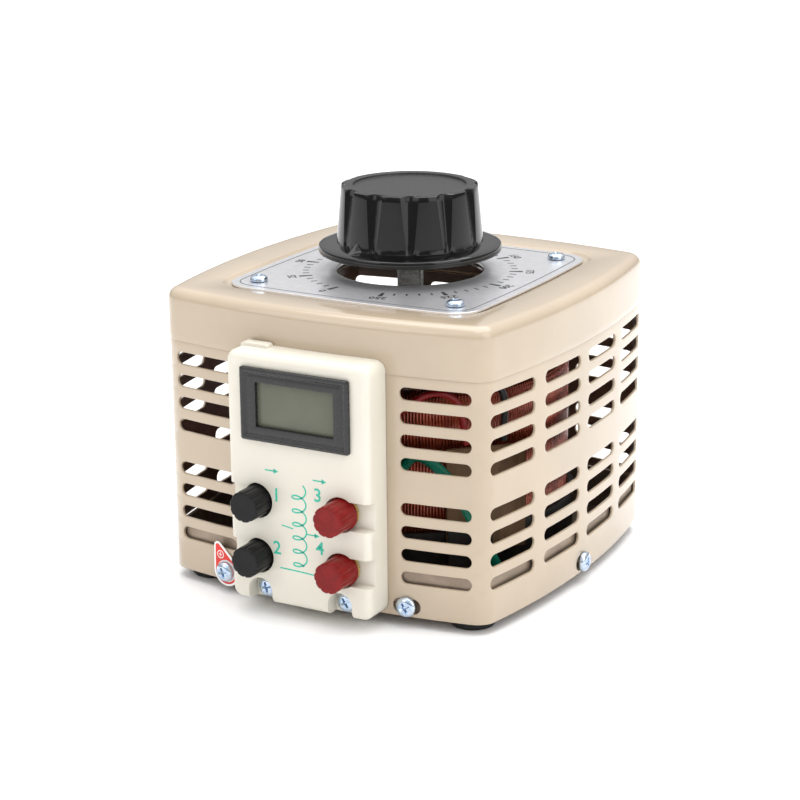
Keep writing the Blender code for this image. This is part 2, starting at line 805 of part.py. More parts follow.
def make_knob(parent, black, steel):
    steps = 4 * KNOB_FLUTES
    body_foot = SKIRT_TOP + 1.2 * MM
    depth = 1.2 * MM
    bm = bmesh.new()

    def ring(radius, z):
        return [bm.verts.new(p) for p in ring_points(radius, steps, z)]

    loops = [
        ring(SHAFT_RADIUS + 0.7 * MM, SKIRT_BOTTOM),
        ring(SKIRT_RADIUS, SKIRT_BOTTOM),
        ring(SKIRT_RADIUS, SKIRT_TOP - 0.6 * MM),
        ring(SKIRT_RADIUS - 1 * MM, SKIRT_TOP),
        knob_loop(bm, KNOB_FOOT_RADIUS, KNOB_FOOT_RADIUS - 1.2 * MM, body_foot),
        knob_loop(bm, KNOB_TOP_RADIUS, KNOB_TOP_RADIUS - 1.8 * MM, KNOB_TOP - 0.8 * MM),
        ring(KNOB_TOP_RADIUS - 2.6 * MM, KNOB_TOP),
        ring(22.9 * MM, KNOB_TOP),
        ring(22.9 * MM, KNOB_TOP - depth),
    ]
    bore_top = ring(SHAFT_RADIUS + 0.7 * MM, 145 * MM)
    for low, high in zip(loops, loops[1:]):
        bridge(bm, low, high)
    bridge(bm, loops[0], bore_top)
    bm.faces.new(loops[-1])
    bm.faces.new(bore_top)
    knob = make_object("knob", bm, black, parent)
    wedge = bmesh.new()
    corners = [(28 * MM, -4.5 * MM), (35.6 * MM, 0), (28 * MM, 4.5 * MM)]
    low = [wedge.verts.new((x, y, SKIRT_TOP - 0.5 * MM)) for x, y in corners]
    peak = wedge.verts.new((28 * MM, 0, SKIRT_TOP + 4.5 * MM))
    wedge.faces.new(low)
    for i, vert in enumerate(low):
        wedge.faces.new((vert, low[(i + 1) % 3], peak))
    combine(knob, make_cutter("knob_pointer", wedge, parent), "UNION")
    height = 138 * MM
    hole = cylinder(2.4 * MM, -32 * MM, -4 * MM, 10)
    combine(knob, make_cutter("set_screw_hole", hole, parent, (0, 0, height), (0, QUARTER, 0)))
    screw = cylinder(2.0 * MM, -14 * MM, -(KNURL_RADIUS + GAP), 10)
    make_object("knob_set_screw", screw, steel, parent, (0, 0, height), (0, QUARTER, 0))


def make_shaft(parent, steel):
    profile = [
        (0, TRAY_FLOOR + 1.5 * MM),
        (SHAFT_RADIUS, TRAY_FLOOR + 1.5 * MM),
        (SHAFT_RADIUS, 104 * MM),
        (KNURL_RADIUS, 104 * MM),
        (KNURL_RADIUS, 143.5 * MM),
        (KNURL_RADIUS - 0.8 * MM, 144.3 * MM),
        (0, 144.3 * MM),
    ]
    make_object("shaft", turned(profile, 24), steel, parent)


def make_brush_gear(parent, brush_frame, bush_top, phenolic, aluminium, brass, carbon, steel):
    bore = SHAFT_RADIUS + GAP
    low = bush_top + GAP
    shoulder = ARM_Z - GAP
    hub = [
        (bore, low),
        (11.4 * MM, low),
        (11.4 * MM, 90.5 * MM),
        (16 * MM, 90.5 * MM),
        (16 * MM, shoulder),
        (11.4 * MM, shoulder),
        (11.4 * MM, 103.4 * MM),
        (bore, 103.4 * MM),
    ]
    make_object("brush_hub", turned(hub, 24), phenolic, parent)

    bar = 4.3 * MM
    ring = 18 * MM
    pad = 9 * MM
    meet = math.asin(bar / ring)
    outline = []
    for i in range(19):
        angle = meet + (2 * math.pi - 2 * meet) * i / 18
        outline.append((ring * math.cos(angle), ring * math.sin(angle)))
    outline += [(38 * MM, -bar), (41 * MM, -pad), (58 * MM, -pad)]
    outline += [(58 * MM, pad), (41 * MM, pad), (38 * MM, bar)]
    arm = make_object(
        "brush_arm", prism(outline, ARM_Z, ARM_Z + ARM_THICK), aluminium, parent, smooth=False
    )
    holes = cylinder(11.8 * MM, ARM_Z - MM, ARM_Z + ARM_THICK + MM, 24)
    holder_x, holder_y = 12.4 * MM, 9.4 * MM
    add_box(holes, (holder_x + 2 * GAP, holder_y + 2 * GAP, 8 * MM), (BRUSH_RADIUS, 0, ARM_Z))
    combine(arm, make_cutter("arm_holes", holes, parent))

    holder_low, holder_high, wall = 86.5 * MM, 101.9 * MM, 1.0 * MM
    brush_x = holder_x - 2 * wall - 2 * GAP
    brush_y = holder_y - 2 * wall - 2 * GAP
    middle = (holder_low + holder_high) / 2
    bm = box((holder_x, holder_y, holder_high - holder_low), (BRUSH_RADIUS, 0, middle))
    holder = make_object("brush_holder", bm, brass, parent, smooth=False)
    inside = (holder_x - 2 * wall, holder_y - 2 * wall, holder_high - holder_low)
    hollow = box(inside, (BRUSH_RADIUS, 0, middle - wall))
    combine(holder, make_cutter("holder_hollow", hollow, parent))

    brush_low, brush_high = WINDING_TOP + GAP, 93.6 * MM
    bm = box((brush_x, brush_y, brush_high - brush_low), (0, 0, (brush_low + brush_high) / 2))
    make_object("carbon_brush", bm, carbon, brush_frame, smooth=False)
    spring_low, spring_high = brush_high + GAP, holder_high - wall - GAP
    make_spring(parent, steel, (BRUSH_RADIUS, 0, 0), spring_low, spring_high)


def make_spring(parent, steel, place, low, high):
    """A round-wire compression spring."""
    wire, coil, turns, per_turn, sides = 0.3 * MM, 2.2 * MM, 4.5, 10, 5
    rise = high - low - 2 * wire
    count = int(turns * per_turn)
    bm = bmesh.new()
    loops = []
    for i in range(count + 1):
        angle = 2 * math.pi * i / per_turn
        out = Vector((math.cos(angle), math.sin(angle), 0))
        centre = out * coil + Vector((0, 0, low + wire + rise * i / count))
        spokes = [2 * math.pi * k / sides for k in range(sides)]
        section = [centre + out * wire * math.cos(s) + Vector((0, 0, wire * math.sin(s))) for s in spokes]
        loops.append([bm.verts.new(p) for p in section])
    for a, b in zip(loops, loops[1:]):
        bridge(bm, a, b)
    bm.faces.new(loops[0])
    bm.faces.new(loops[-1])
    make_object("brush_spring", bm, steel, parent, place)


# ---- Terminal panel ----


def make_panel(parent, panel, ivory):
    """A moulded box, open at the back, whose rim follows the bowed cover."""
    rim = CASE.inset(-GAP)
    left, right = PANEL_SHIFT - PANEL_HALF, PANEL_SHIFT + PANEL_HALF
    outline = []
    for i in range(9):
        x = right + (left - right) * i / 8
        point = rim.point(FRONT, rim.place_of(rim.bow * math.asin(x / rim.bow)))
        outline.append((x, point.y))
    for corner in range(2):
        for i in range(4):
            angle = math.pi + QUARTER * (corner + i / 3)
            middle = (left + PANEL_EDGE) if corner == 0 else (right - PANEL_EDGE)
            x = middle + PANEL_EDGE * math.cos(angle)
            y = -PANEL_FRONT + PANEL_EDGE + PANEL_EDGE * math.sin(angle)
            outline.append((x, y))
    body = make_object("terminal_panel", prism(outline, PANEL_LOW, PANEL_HIGH), ivory, parent)
    deep = 60 * MM
    low, step, high = 13.5 * MM, 56 * MM, PANEL_HIGH - 2.7 * MM
    post_wall, front_wall = NOTCH_FLOOR - 2.7 * MM, PANEL_FRONT - 2.5 * MM
    profile = [
        (deep, low),
        (post_wall, low),
        (post_wall, step),
        (front_wall, step),
        (front_wall, high),
        (deep, high),
    ]
    reach = PANEL_HALF - 2.7 * MM
    hollow = make_cutter("panel_hollow", prism(profile, -reach, reach), panel, (0, 0, 0), (0, -QUARTER, 0))
    combine(body, hollow)
    front = bmesh.new()
    opening = (METER_BODY[0] + 2 * GAP, METER_BODY[1] + 2 * GAP, 20 * MM)
    add_box(front, opening, (0, METER_MIDDLE, PANEL_FRONT))
    combine(body, make_cutter("meter_opening", front, panel))
    for row, height in enumerate(POST_HEIGHTS):
        for side in (-1, 1):
            add_post_cuts(body, panel, row, side, height)
    low_cuts = bmesh.new()
    for side in (-1, 1):
        x = side * PANEL_SCREW_SPACING / 2
        floor = NOTCH_FLOOR - 2 * MM
        outline = [(x + 5.4 * MM * math.cos(a), PANEL_SCREW_Z + 5.4 * MM * math.sin(a)) for a in half_turn(8)]
        outline += [(x - 5.4 * MM, -2 * MM), (x + 5.4 * MM, -2 * MM)]
        add_prism(low_cuts, outline, floor, PANEL_FRONT + 5 * MM)
    combine(body, make_cutter("screw_notches", low_cuts, panel))
    shanks = bmesh.new()
    for side in (-1, 1):
        place = (side * PANEL_SCREW_SPACING / 2, PANEL_SCREW_Z)
        add_cylinder(shanks, 2.3 * MM, deep, PANEL_FRONT, 10, place)
    combine(body, make_cutter("screw_bores", shanks, panel))


def half_turn(steps):
    return [math.pi * i / steps for i in range(steps + 1)]


def add_post_cuts(body, panel, row, side, height):
    """A round pocket for one post's cap, a channel from it to the panel's side, and the stud's hole."""
    x = side * POST_SPACING / 2
    edge = PANEL_HALF + 5 * MM
    name = "post_cut_%d_%s" % (row, "left" if side < 0 else "right")
    reach = 6 * MM
    outline = []
    start = math.asin(NOTCH_HALF / POCKET_RADIUS)
    for i in range(15):
        angle = start + (2 * math.pi - 2 * start) * i / 14
        outline.append((x + side * POCKET_RADIUS * math.cos(angle), height + POCKET_RADIUS * math.sin(angle)))
    outline += [(side * edge, height - NOTCH_HALF), (side * edge, height + NOTCH_HALF)]
    pocket = prism(outline, NOTCH_FLOOR, PANEL_FRONT + reach)
    combine(body, make_cutter(name, pocket, panel))
    bore = bmesh.new()
    add_cylinder(bore, 2.9 * MM, 60 * MM, PANEL_FRONT, 12, (x, height))
    combine(body, make_cutter(name + "_bore", bore, panel))


def make_meter(panel, black, glass, board):
    front = PANEL_FRONT + 2 * MM
    rear = PANEL_FRONT - 7.5 * MM
    bm = bmesh.new()
    flange = rounded_rectangle(METER_SIZE[0] / 2, METER_SIZE[1] / 2, 1 * MM, 2)
    sleeve = [(math.copysign(METER_BODY[0] / 2, x), math.copysign(METER_BODY[1] / 2, y)) for x, y in flange]
    heights = (front, PANEL_FRONT + GAP, PANEL_FRONT + GAP, rear)
    shapes = (flange, flange, sleeve[::3], sleeve[::3])
    loops = []
    for z, shape in zip(heights[:2], shapes[:2]):
        loops.append([bm.verts.new((x, y, z)) for x, y in shape])
    bridge(bm, *loops)
    bm.faces.new(loops[0])
    bm.faces.new(loops[1])
    bezel = make_object("meter_bezel", bm, black, panel, (0, METER_MIDDLE, 0), smooth=False)
    body = box((METER_BODY[0], METER_BODY[1], front - rear - MM), (0, 0, (front + rear - MM) / 2))
    combine(bezel, make_cutter("meter_sleeve", body, panel, (0, METER_MIDDLE, 0)), "UNION")
    window = box((*WINDOW_SIZE, 10 * MM), (0, 0, front))
    combine(bezel, make_cutter("meter_window", window, panel, (0, METER_MIDDLE, 0)))
    inside = box((40 * MM, 22.4 * MM, 20 * MM), (0, 0, PANEL_FRONT - 10 * MM))
    combine(bezel, make_cutter("meter_inside", inside, panel, (0, METER_MIDDLE, 0)))
    pane = box((39.4 * MM, 21.8 * MM, 1.4 * MM), (0, 0, PANEL_FRONT - 1 * MM))
    make_object("lcd_window", pane, glass, panel, (0, METER_MIDDLE, 0), smooth=False)
    rear_face, front_face = 74 * MM, PANEL_FRONT - 2 * MM
    module = box((39.4 * MM, 21.8 * MM, front_face - rear_face), (0, 0, (front_face + rear_face) / 2))
    make_object("meter_board", module, board, panel, (0, METER_MIDDLE, 0), smooth=False)


def make_posts(panel, brass, black, red):
    caps = {"left": black, "right": red}
    washer_low = NOTCH_FLOOR + 1.4 * MM
    cap_low = washer_low + 0.9 * MM
    for side, label in ((-1, "left"), (1, "right")):
        for row, level in enumerate(("upper", "lower")):
            name = level + "_" + label
            x, z = side * POST_SPACING / 2, POST_HEIGHTS[row]
            stud = turned(
                [
                    (0, 72 * MM),
                    (2.5 * MM, 72 * MM),
                    (2.5 * MM, NOTCH_FLOOR + GAP),
                    (6.2 * MM, NOTCH_FLOOR + GAP),
                    (6.2 * MM, NOTCH_FLOOR + 1.1 * MM),
                    (2.5 * MM, NOTCH_FLOOR + 1.1 * MM),
                    (2.5 * MM, CAP_FRONT - 3 * MM),
                    (0, CAP_FRONT - 3 * MM),
                ],
                16,
            )
            make_object("post_stud_" + name, stud, brass, panel, (x, z, 0))
            washer = turned(
                [
                    (2.9 * MM, washer_low),
                    (5.6 * MM, washer_low),
                    (5.6 * MM, washer_low + 0.6 * MM),
                    (2.9 * MM, washer_low + 0.6 * MM),
                ],
                16,
            )
            make_object("post_washer_" + name, washer, brass, panel, (x, z, 0))
            cap = turned(
                [
                    (2.9 * MM, cap_low),
                    (6.7 * MM, cap_low),
                    (6.7 * MM, cap_low + 1.2 * MM),
                    (6.25 * MM, cap_low + 1.2 * MM),
                    (6.25 * MM, CAP_FRONT - 0.6 * MM),
                    (5.7 * MM, CAP_FRONT),
                    (0, CAP_FRONT),
                    (0, CAP_FRONT - 2.4 * MM),
                    (2.9 * MM, CAP_FRONT - 2.4 * MM),
                ],
                20,
            )
            make_object("post_cap_" + name, cap, caps[label], panel, (x, z, 0))


# ---- Internal leads ----


def make_lead(name, points, radius, material, parent):
    """A round lead along a smooth line through a few points, with flat ends."""
    curve = bpy.data.curves.new(name, "CURVE")
    curve.dimensions = "3D"
    curve.bevel_depth = radius
    curve.bevel_resolution = 1
    curve.use_fill_caps = True
    spline = curve.splines.new("POLY")
    fine = smooth_line([Vector(p) * MM for p in points], 4)
    spline.points.add(len(fine) - 1)
    for target, point in zip(spline.points, fine):
        target.co = (*point, 1)
    curve.materials.append(material)
    obj = bpy.data.objects.new(name, curve)
    bpy.context.scene.collection.objects.link(obj)
    obj.parent = parent
    return obj


def smooth_line(points, steps):
    """Points along a Catmull-Rom line."""
    ends = [2 * points[0] - points[1], *points, 2 * points[-1] - points[-2]]
    fine = []
    for a, b, c, d in zip(ends, ends[1:], ends[2:], ends[3:]):
        for i in range(steps):
            t = i / steps
            fine.append(
                0.5 * (2 * b + (c - a) * t + (2 * a - 5 * b + 4 * c - d) * t * t
                       + (3 * b - a - 3 * c + d) * t * t * t)
            )
    return fine + [points[-1]]


RED_LEAD = [
    (19.5, -69.6, 41),
    (20, -69.4, 60),
    (28, -67.5, 74),
    (42, -63, 86),
    (50, -54, 82),
    (51.5, -49, 64),
]
BLACK_LEAD = [
    (-17.9, -69.6, 41),
    (-14, -69.8, 58),
    (0, -70, 74),
    (18, -69.5, 86),
    (38, -68, 93),
    (54, -58, 94),
    (64, -44, 86),
    (61.5, -37, 64),
]
GREEN_LEAD = [
    (19.5, -69.4, 24),
    (27, -69, 42),
    (34, -66.5, 58),
    (40, -63.5, 61),
    (50, -59, 51),
    (59, -56, 34),
    (66, -44, 8),
]


def main():
    clear_scene()
    axis = make_empty("axis", (0, AXIS_Y, FOOT_DROP))
    panel = make_empty("panel", (PANEL_SHIFT, 0, 0), axis, (QUARTER, 0, 0))
    rotor = make_empty("rotor", (0, 0, 0), axis, (0, 0, math.radians(ZERO_ANGLE)))
    brush = make_empty("brush", (BRUSH_RADIUS, 0, 0), rotor)

    paint = make_material("beige_enamel", (0.66, 0.57, 0.45), 0.25)
    aluminium = make_material("dial_aluminium", (0.72, 0.73, 0.74), 0.35, 0.9)
    zinc = make_material("zinc", (0.75, 0.8, 0.85), 0.25, 1.0)
    steel = make_material("steel", (0.55, 0.55, 0.56), 0.35, 1.0)
    plated = make_material("base_steel", (0.42, 0.38, 0.34), 0.45, 0.9)
    rubber = make_material("rubber", (0.02, 0.02, 0.02), 0.8)
    knob_black = make_material("knob_black", (0.012, 0.012, 0.013), 0.2)
    phenolic = make_material("phenolic", (0.02, 0.018, 0.016), 0.5)
    laminate = make_material("laminate", (0.2, 0.11, 0.055), 0.6)
    copper = make_material("enamelled_copper", (0.35, 0.09, 0.04), 0.3, 0.8)
    core_steel = make_material("core_steel", (0.25, 0.25, 0.26), 0.5, 0.8)
    brass = make_material("brass", (0.75, 0.58, 0.25), 0.3, 1.0)
    bronze = make_material("bronze", (0.55, 0.38, 0.2), 0.4, 1.0)
    carbon = make_material("carbon", (0.03, 0.03, 0.032), 0.6)
    ivory = make_material("ivory", (0.88, 0.85, 0.74), 0.35)
    bezel_black = make_material("bezel_black", (0.04, 0.04, 0.045), 0.4)
    glass = make_material("lcd_green", (0.21, 0.23, 0.18), 0.1)
    board = make_material("board_green", (0.03, 0.16, 0.07), 0.5)
    cap_black = make_material("cap_black", (0.035, 0.035, 0.037), 0.35)
    cap_red = make_material("cap_red", (0.26, 0.03, 0.03), 0.3)
    tag_red = make_material("tag_red", (0.75, 0.04, 0.03), 0.4)
    red_lead = make_material("red_lead", (0.4, 0.01, 0.01), 0.4)
    black_lead = make_material("black_lead", (0.015, 0.015, 0.015), 0.4)
    green_lead = make_material("green_lead", (0.0, 0.25, 0.17), 0.4)

    make_case_wall(axis, paint)
    make_case_top(axis, paint)
    plate_top = make_dial_plate(axis, aluminium)
    make_outer_screws(axis, plate_top, zinc)
    make_earth_tag(axis, tag_red)
    make_base(axis, plated, rubber)
    make_winding(axis, copper, core_steel)
    bush_top = make_mounting(axis, phenolic, steel, brass, bronze)
    make_corner_board(axis, laminate, phenolic)
    make_knob(rotor, knob_black, steel)
    make_shaft(rotor, steel)
    make_brush_gear(rotor, brush, bush_top, phenolic, aluminium, brass, carbon, steel)
    make_panel(axis, panel, ivory)
    make_meter(panel, bezel_black, glass, board)
    make_posts(panel, brass, cap_black, cap_red)
    make_lead("lead_red", RED_LEAD, 1.4 * MM, red_lead, axis)
    make_lead("lead_black", BLACK_LEAD, 1.4 * MM, black_lead, axis)
    make_lead("lead_green", GREEN_LEAD, 2.2 * MM, green_lead, axis)


main()
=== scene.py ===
"""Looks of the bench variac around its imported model: fine meshes, procedural finishes, stage, lights, camera.

Shapes are written in millimetres round the knob's axis, at the height of the case's lower edge. Panel shapes
use the panel's own directions: x to the right, y up and z out of the panel.
"""

import math

import bmesh
import bpy
from mathutils import Matrix, Vector


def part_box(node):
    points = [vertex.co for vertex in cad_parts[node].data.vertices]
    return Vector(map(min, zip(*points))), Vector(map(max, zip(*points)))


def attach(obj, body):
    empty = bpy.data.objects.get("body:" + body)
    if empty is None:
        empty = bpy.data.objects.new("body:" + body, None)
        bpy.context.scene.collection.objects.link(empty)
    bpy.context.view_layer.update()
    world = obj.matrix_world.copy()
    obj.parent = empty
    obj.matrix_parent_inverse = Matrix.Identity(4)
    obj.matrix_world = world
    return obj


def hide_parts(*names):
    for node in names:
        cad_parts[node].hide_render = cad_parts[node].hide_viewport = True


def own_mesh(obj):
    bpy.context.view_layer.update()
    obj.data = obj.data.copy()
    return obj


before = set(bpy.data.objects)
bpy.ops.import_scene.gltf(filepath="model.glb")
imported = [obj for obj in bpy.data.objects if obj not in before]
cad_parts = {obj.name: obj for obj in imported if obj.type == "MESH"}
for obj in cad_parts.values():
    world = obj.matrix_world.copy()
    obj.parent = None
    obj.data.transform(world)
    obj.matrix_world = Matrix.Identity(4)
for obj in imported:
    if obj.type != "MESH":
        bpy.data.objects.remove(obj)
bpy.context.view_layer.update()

MM = 0.001
QUARTER = math.pi / 2
TURN = 2 * math.pi


def shift(x, y, z):
    return Matrix.Translation((x, y, z))


def spot(x, y, z):
    """A shift in millimetres, for an object's place."""
    return shift(x * MM, y * MM, z * MM)


def spin(angle, axis="Z"):
    return Matrix.Rotation(angle, 4, axis)


def polar(radius, angle, *rest):
    return (radius * math.cos(angle), radius * math.sin(angle), *rest)


def spaced(low, high, steps):
    return [low + (high - low) * i / steps for i in range(steps + 1)]


def arc(radius, first, last, steps, x=0.0, y=0.0):
    """Points (x, y) along an arc, both ends included."""
    return [(x + radius * math.cos(a), y + radius * math.sin(a)) for a in spaced(first, last, steps)]


# ---- Where things are, read from the frame ----

shaft_low, shaft_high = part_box("shaft")
wall_low, wall_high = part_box("case_wall")
top_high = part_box("case_top")[1]
panel_low, panel_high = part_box("terminal_panel")
plate_low, plate_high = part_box("dial_plate")
ORIGIN = Vector(((shaft_low.x + shaft_high.x) / 2, (shaft_low.y + shaft_high.y) / 2, wall_low.z))
ZERO_ANGLE = math.radians(-106)
AXIS = shift(*ORIGIN)
ROTOR = AXIS @ spin(ZERO_ANGLE)
PANEL = AXIS @ shift((panel_low.x + panel_high.x) / 2 - ORIGIN.x, 0, 0) @ spin(QUARTER, "X")


def height(z):
    """A height of the frame, in millimetres above the case's lower edge."""
    return (z - ORIGIN.z) / MM


def out(y):
    """A distance of the frame in front of the knob's axis, in millimetres."""
    return (ORIGIN.y - y) / MM


CASE_HALF = (wall_high.x - wall_low.x) / 2 / MM
CASE_TOP, SEAM = height(top_high.z), height(wall_high.z)
PLATE_TOP = height(plate_high.z)
PLATE_HALF = (plate_high.x - plate_low.x) / 2 / MM
PANEL_FRONT = out(panel_low.y)
PANEL_HALF = (panel_high.x - panel_low.x) / 2 / MM
PANEL_LOW, PANEL_HIGH = height(panel_low.z), height(panel_high.z)

GAP = 0.3
CASE_BOW, CASE_CORNER, CASE_WALL, CASE_FILLET = 359.0, 8.4, 1.2, 4.5
PLATE_BOW, PLATE_CORNER, PLATE_THICK = 800.0, 12.0, 0.8
RECESS_HALF, RECESS_DEPTH, RECESS_RUN = 58.4, 1.4, 2.4
DIAL_HOLE, DIAL_SCREW_AT = 30.0, 44.5
SLOT_HALF, SLOT_ROWS, SLOT_PITCH, SLOT_GROUPS = 2.5, 4, 9.27, (16.0, 61.8)
CASE_SCREW_Z, FRONT_SCREW_X, EARTH_SCREW_X = 4.4, 40.0, -42.7
PANEL_SCREW_X, PANEL_SCREW_Y = 18.0, 5.6
POST_X, POST_ROWS = 18.7, (42.8, 20.2)
POCKET_FLOOR, POCKET_RADIUS, CHANNEL_HALF = 87.0, 7.1, 5.7
METER_MIDDLE = 82.1


# ---- Meshes ----


def finish_mesh(bm, angle=35, materials=()):
    """A mesh in metres from a bmesh in millimetres."""
    bmesh.ops.remove_doubles(bm, verts=bm.verts, dist=1e-4)
    bmesh.ops.recalc_face_normals(bm, faces=bm.faces)
    bmesh.ops.scale(bm, verts=bm.verts, vec=(MM, MM, MM))
    mesh = bpy.data.meshes.new("mesh")
    bm.to_mesh(mesh)
    bm.free()
    mesh.shade_smooth()
    mesh.set_sharp_from_angle(angle=math.radians(angle))
    for material in materials:
        mesh.materials.append(material)
    return mesh


def add_object(name, data):
    obj = bpy.data.objects.new(name, data)
    bpy.context.scene.collection.objects.link(obj)
    return obj


def put(name, mesh, place, material, body, slot, *nodes):
    """Makes an object that rides on a body and stands for some of the frame's nodes."""
    obj = add_object(name, mesh)
    obj.matrix_world = place
    if not mesh.materials:
        mesh.materials.append(material)
    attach(obj, body)
    if nodes:
        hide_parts(*nodes)
    return obj


def loop_verts(bm, points):
    return [bm.verts.new(p) for p in points]


def bridge(bm, lower, upper, material=0):
    for i, vert in enumerate(lower):
        j = (i + 1) % len(lower)
        bm.faces.new((vert, lower[j], upper[j], upper[i])).material_index = material


def cap(bm, loop, material=0):
    bm.faces.new(loop).material_index = material


def loft(bm, rings, material=0, caps=False, closed=False):
    """Skins a run of rings of points and returns their vertices."""
    loops = [loop_verts(bm, ring) for ring in rings]
    for lower, upper in zip(loops, loops[1:] + loops[:1] * closed):
        bridge(bm, lower, upper, material)
    if caps:
        cap(bm, loops[0])
        cap(bm, loops[-1])
    return loops


def circle(radius, z, steps, turn=0.0):
    return [polar(radius, turn + TURN * i / steps, z) for i in range(steps)]


def turned(profile, steps=64):
    """Turns an outline of (radius, z) points about Z. It closes by itself, or starts and ends on the axis."""
    bm = bmesh.new()
    loops = [loop_verts(bm, circle(r, z, steps) if r else [(0, 0, z)]) for r, z in profile]
    pairs = list(zip(loops, loops[1:]))
    if len(loops[0]) > 1:
        pairs.append((loops[-1], loops[0]))
    for a, b in pairs:
        if len(a) == len(b):
            bridge(bm, a, b)
            continue
        tip, ring = (a[0], b) if len(a) == 1 else (b[0], a)
        for i, vert in enumerate(ring):
            bm.faces.new((vert, ring[(i + 1) % steps], tip))
    return bm


def rod(radius, low, high, steps):
    return turned([(0, low), (radius, low), (radius, high), (0, high)], steps)


def prism(outline, low, high):
    bm = bmesh.new()
    loft(bm, [[(x, y, z) for x, y in outline] for z in (low, high)], caps=True)
    return bm


def merge(target, *others):
    """Adds other bmeshes to target."""
    for other in others:
        mesh = bpy.data.meshes.new("part")
        other.to_mesh(mesh)
        other.free()
        target.from_mesh(mesh)
        bpy.data.meshes.remove(mesh)
    return target


def moved(bm, matrix):
    bmesh.ops.transform(bm, matrix=matrix, verts=bm.verts)
    return bm


def box(size, centre=(0, 0, 0)):
    bm = bmesh.new()
    bmesh.ops.create_cube(bm, size=1, matrix=shift(*centre) @ Matrix.Diagonal((*size, 1)))
    return bm


def rounded_rectangle(half_x, half_y, radius, steps=5):
    points = []
    for corner, (sx, sy) in enumerate(((1, 1), (-1, 1), (-1, -1), (1, -1))):
        first = QUARTER * corner
        points += arc(radius, first, first + QUARTER, steps, sx * (half_x - radius), sy * (half_y - radius))
    return points


def add_bevel(obj, width, segments, degrees):
    bevel = obj.modifiers.new("edge_break", "BEVEL")
    bevel.width = width * MM
    bevel.segments = segments
    bevel.limit_method = "ANGLE"
    bevel.angle_limit = math.radians(degrees)


def baked(mesh, *steps):
    """The mesh after its steps, each ("cut" or "join", bmesh in mm) or ("bevel", mm, degrees)."""
    work = [add_object("work", mesh)]
    for step in steps:
        if step[0] == "bevel":
            add_bevel(work[0], step[1], 3, step[2])
            continue
        work.append(add_object("helper", finish_mesh(step[1])))
        boolean = work[0].modifiers.new("boolean", "BOOLEAN")
        boolean.object = work[-1]
        boolean.operation = "DIFFERENCE" if step[0] == "cut" else "UNION"
        boolean.solver = "EXACT"
    graph = bpy.context.evaluated_depsgraph_get()
    result = bpy.data.meshes.new_from_object(work[0].evaluated_get(graph))
    for obj in work:
        old = obj.data
        bpy.data.objects.remove(obj)
        bpy.data.meshes.remove(old)
    result.shade_smooth()
    result.set_sharp_from_angle(angle=math.radians(35))
    return result


# ---- Materials ----


def linear(screen):
    """A colour given as it looks on screen, 0 to 255, as a shader takes it."""
    return [((c / 255 + 0.055) / 1.055) ** 2.4 if c > 10 else c / 255 / 12.92 for c in screen]


def add_node(nodes, kind, **values):
    """A new shader node with its inputs set. An underscore stands for a space in an input's name."""
    node = nodes.new("ShaderNode" + kind)
    for name, value in values.items():
        node.inputs[name.replace("_", " ")].default_value = value
    return node


def surface(
    name, screen, roughness, metallic=0.0, tint=0.06, grain=60.0, spread=0.06, bump=0.01, bump_grain=700.0,
    coat=0.0, stretch=(1, 1, 1), specular=0.5, other=None, share=(0.45, 0.62),
):
    """A principled finish: colour that drifts between two tones, roughness that varies, and a fine bump in mm."""
    material = bpy.data.materials.new(name)
    material.use_nodes = True
    nodes, links = material.node_tree.nodes, material.node_tree.links
    shader = nodes["Principled BSDF"].inputs
    shader["Metallic"].default_value = metallic
    shader["Coat Weight"].default_value = coat
    shader["Coat Roughness"].default_value = 0.06
    shader["Specular IOR Level"].default_value = specular
    mapping = add_node(nodes, "Mapping", Scale=stretch)
    links.new(add_node(nodes, "TexCoord").outputs["Object"], mapping.inputs["Vector"])

    def noise(scale, detail):
        node = add_node(nodes, "TexNoise", Scale=scale, Detail=detail)
        links.new(mapping.outputs["Vector"], node.inputs["Vector"])
        return node.outputs["Fac"]

    colour = linear(screen)
    dark = linear(other) if other else [c * (1 - tint) for c in colour]
    light = colour if other else [min(1.0, c * (1 + tint)) for c in colour]
    ramp = add_node(nodes, "ValToRGB")
    for element, position, tone in zip(ramp.color_ramp.elements, share, (dark, light)):
        element.position, element.color = position, (*tone, 1)
    links.new(noise(grain, 5.0), ramp.inputs["Fac"])
    links.new(ramp.outputs["Color"], shader["Base Color"])
    rough = add_node(nodes, "MapRange", To_Min=max(0.02, roughness - spread), To_Max=min(1.0, roughness + spread))
    links.new(noise(grain * 2.3, 4.0), rough.inputs["Value"])
    links.new(rough.outputs["Result"], shader["Roughness"])
    relief = add_node(nodes, "Bump", Strength=1.0, Distance=bump * MM)
    links.new(noise(bump_grain, 3.0), relief.inputs["Height"])
    links.new(relief.outputs["Normal"], shader["Normal"])
    material.diffuse_color = (*colour, 1)
    return material


PAINT = surface("beige_enamel", (182, 165, 143), 0.16, 0, 0.03, 22, 0.04, 0.035, 95, coat=0.6)
# Dark brown for the case's inside faces: painted shade of the unlit interior, not a colour of the sheet.
INSIDE_SHADE = surface("inside_painted_shade", (104, 84, 68), 0.45, 0, 0.2, 45, bump=0.03, bump_grain=300)
PLATE = surface("dial_aluminium", (222, 222, 225), 0.32, 0.8, 0.03, 300, 0.08, 0.006, 2600)
INK = surface("dial_ink", (28, 28, 30), 0.5, 0, 0.25, 900)
GREY_INK = surface("dial_grey_ink", (96, 97, 102), 0.5, 0, 0.15, 900)
ZINC = surface(
    "bright_zinc", (205, 216, 228), 0.17, 1, 0.1, 500, 0.08, 0.01, 1800, other=(150, 178, 214), share=(0.25, 0.6)
)
STEEL = surface("plain_steel", (196, 196, 193), 0.3, 1, 0.12, 160, bump_grain=900, stretch=(1, 1, 6))
TRAY = surface("tray_steel", (150, 134, 118), 0.4, 0.5, 0.15)
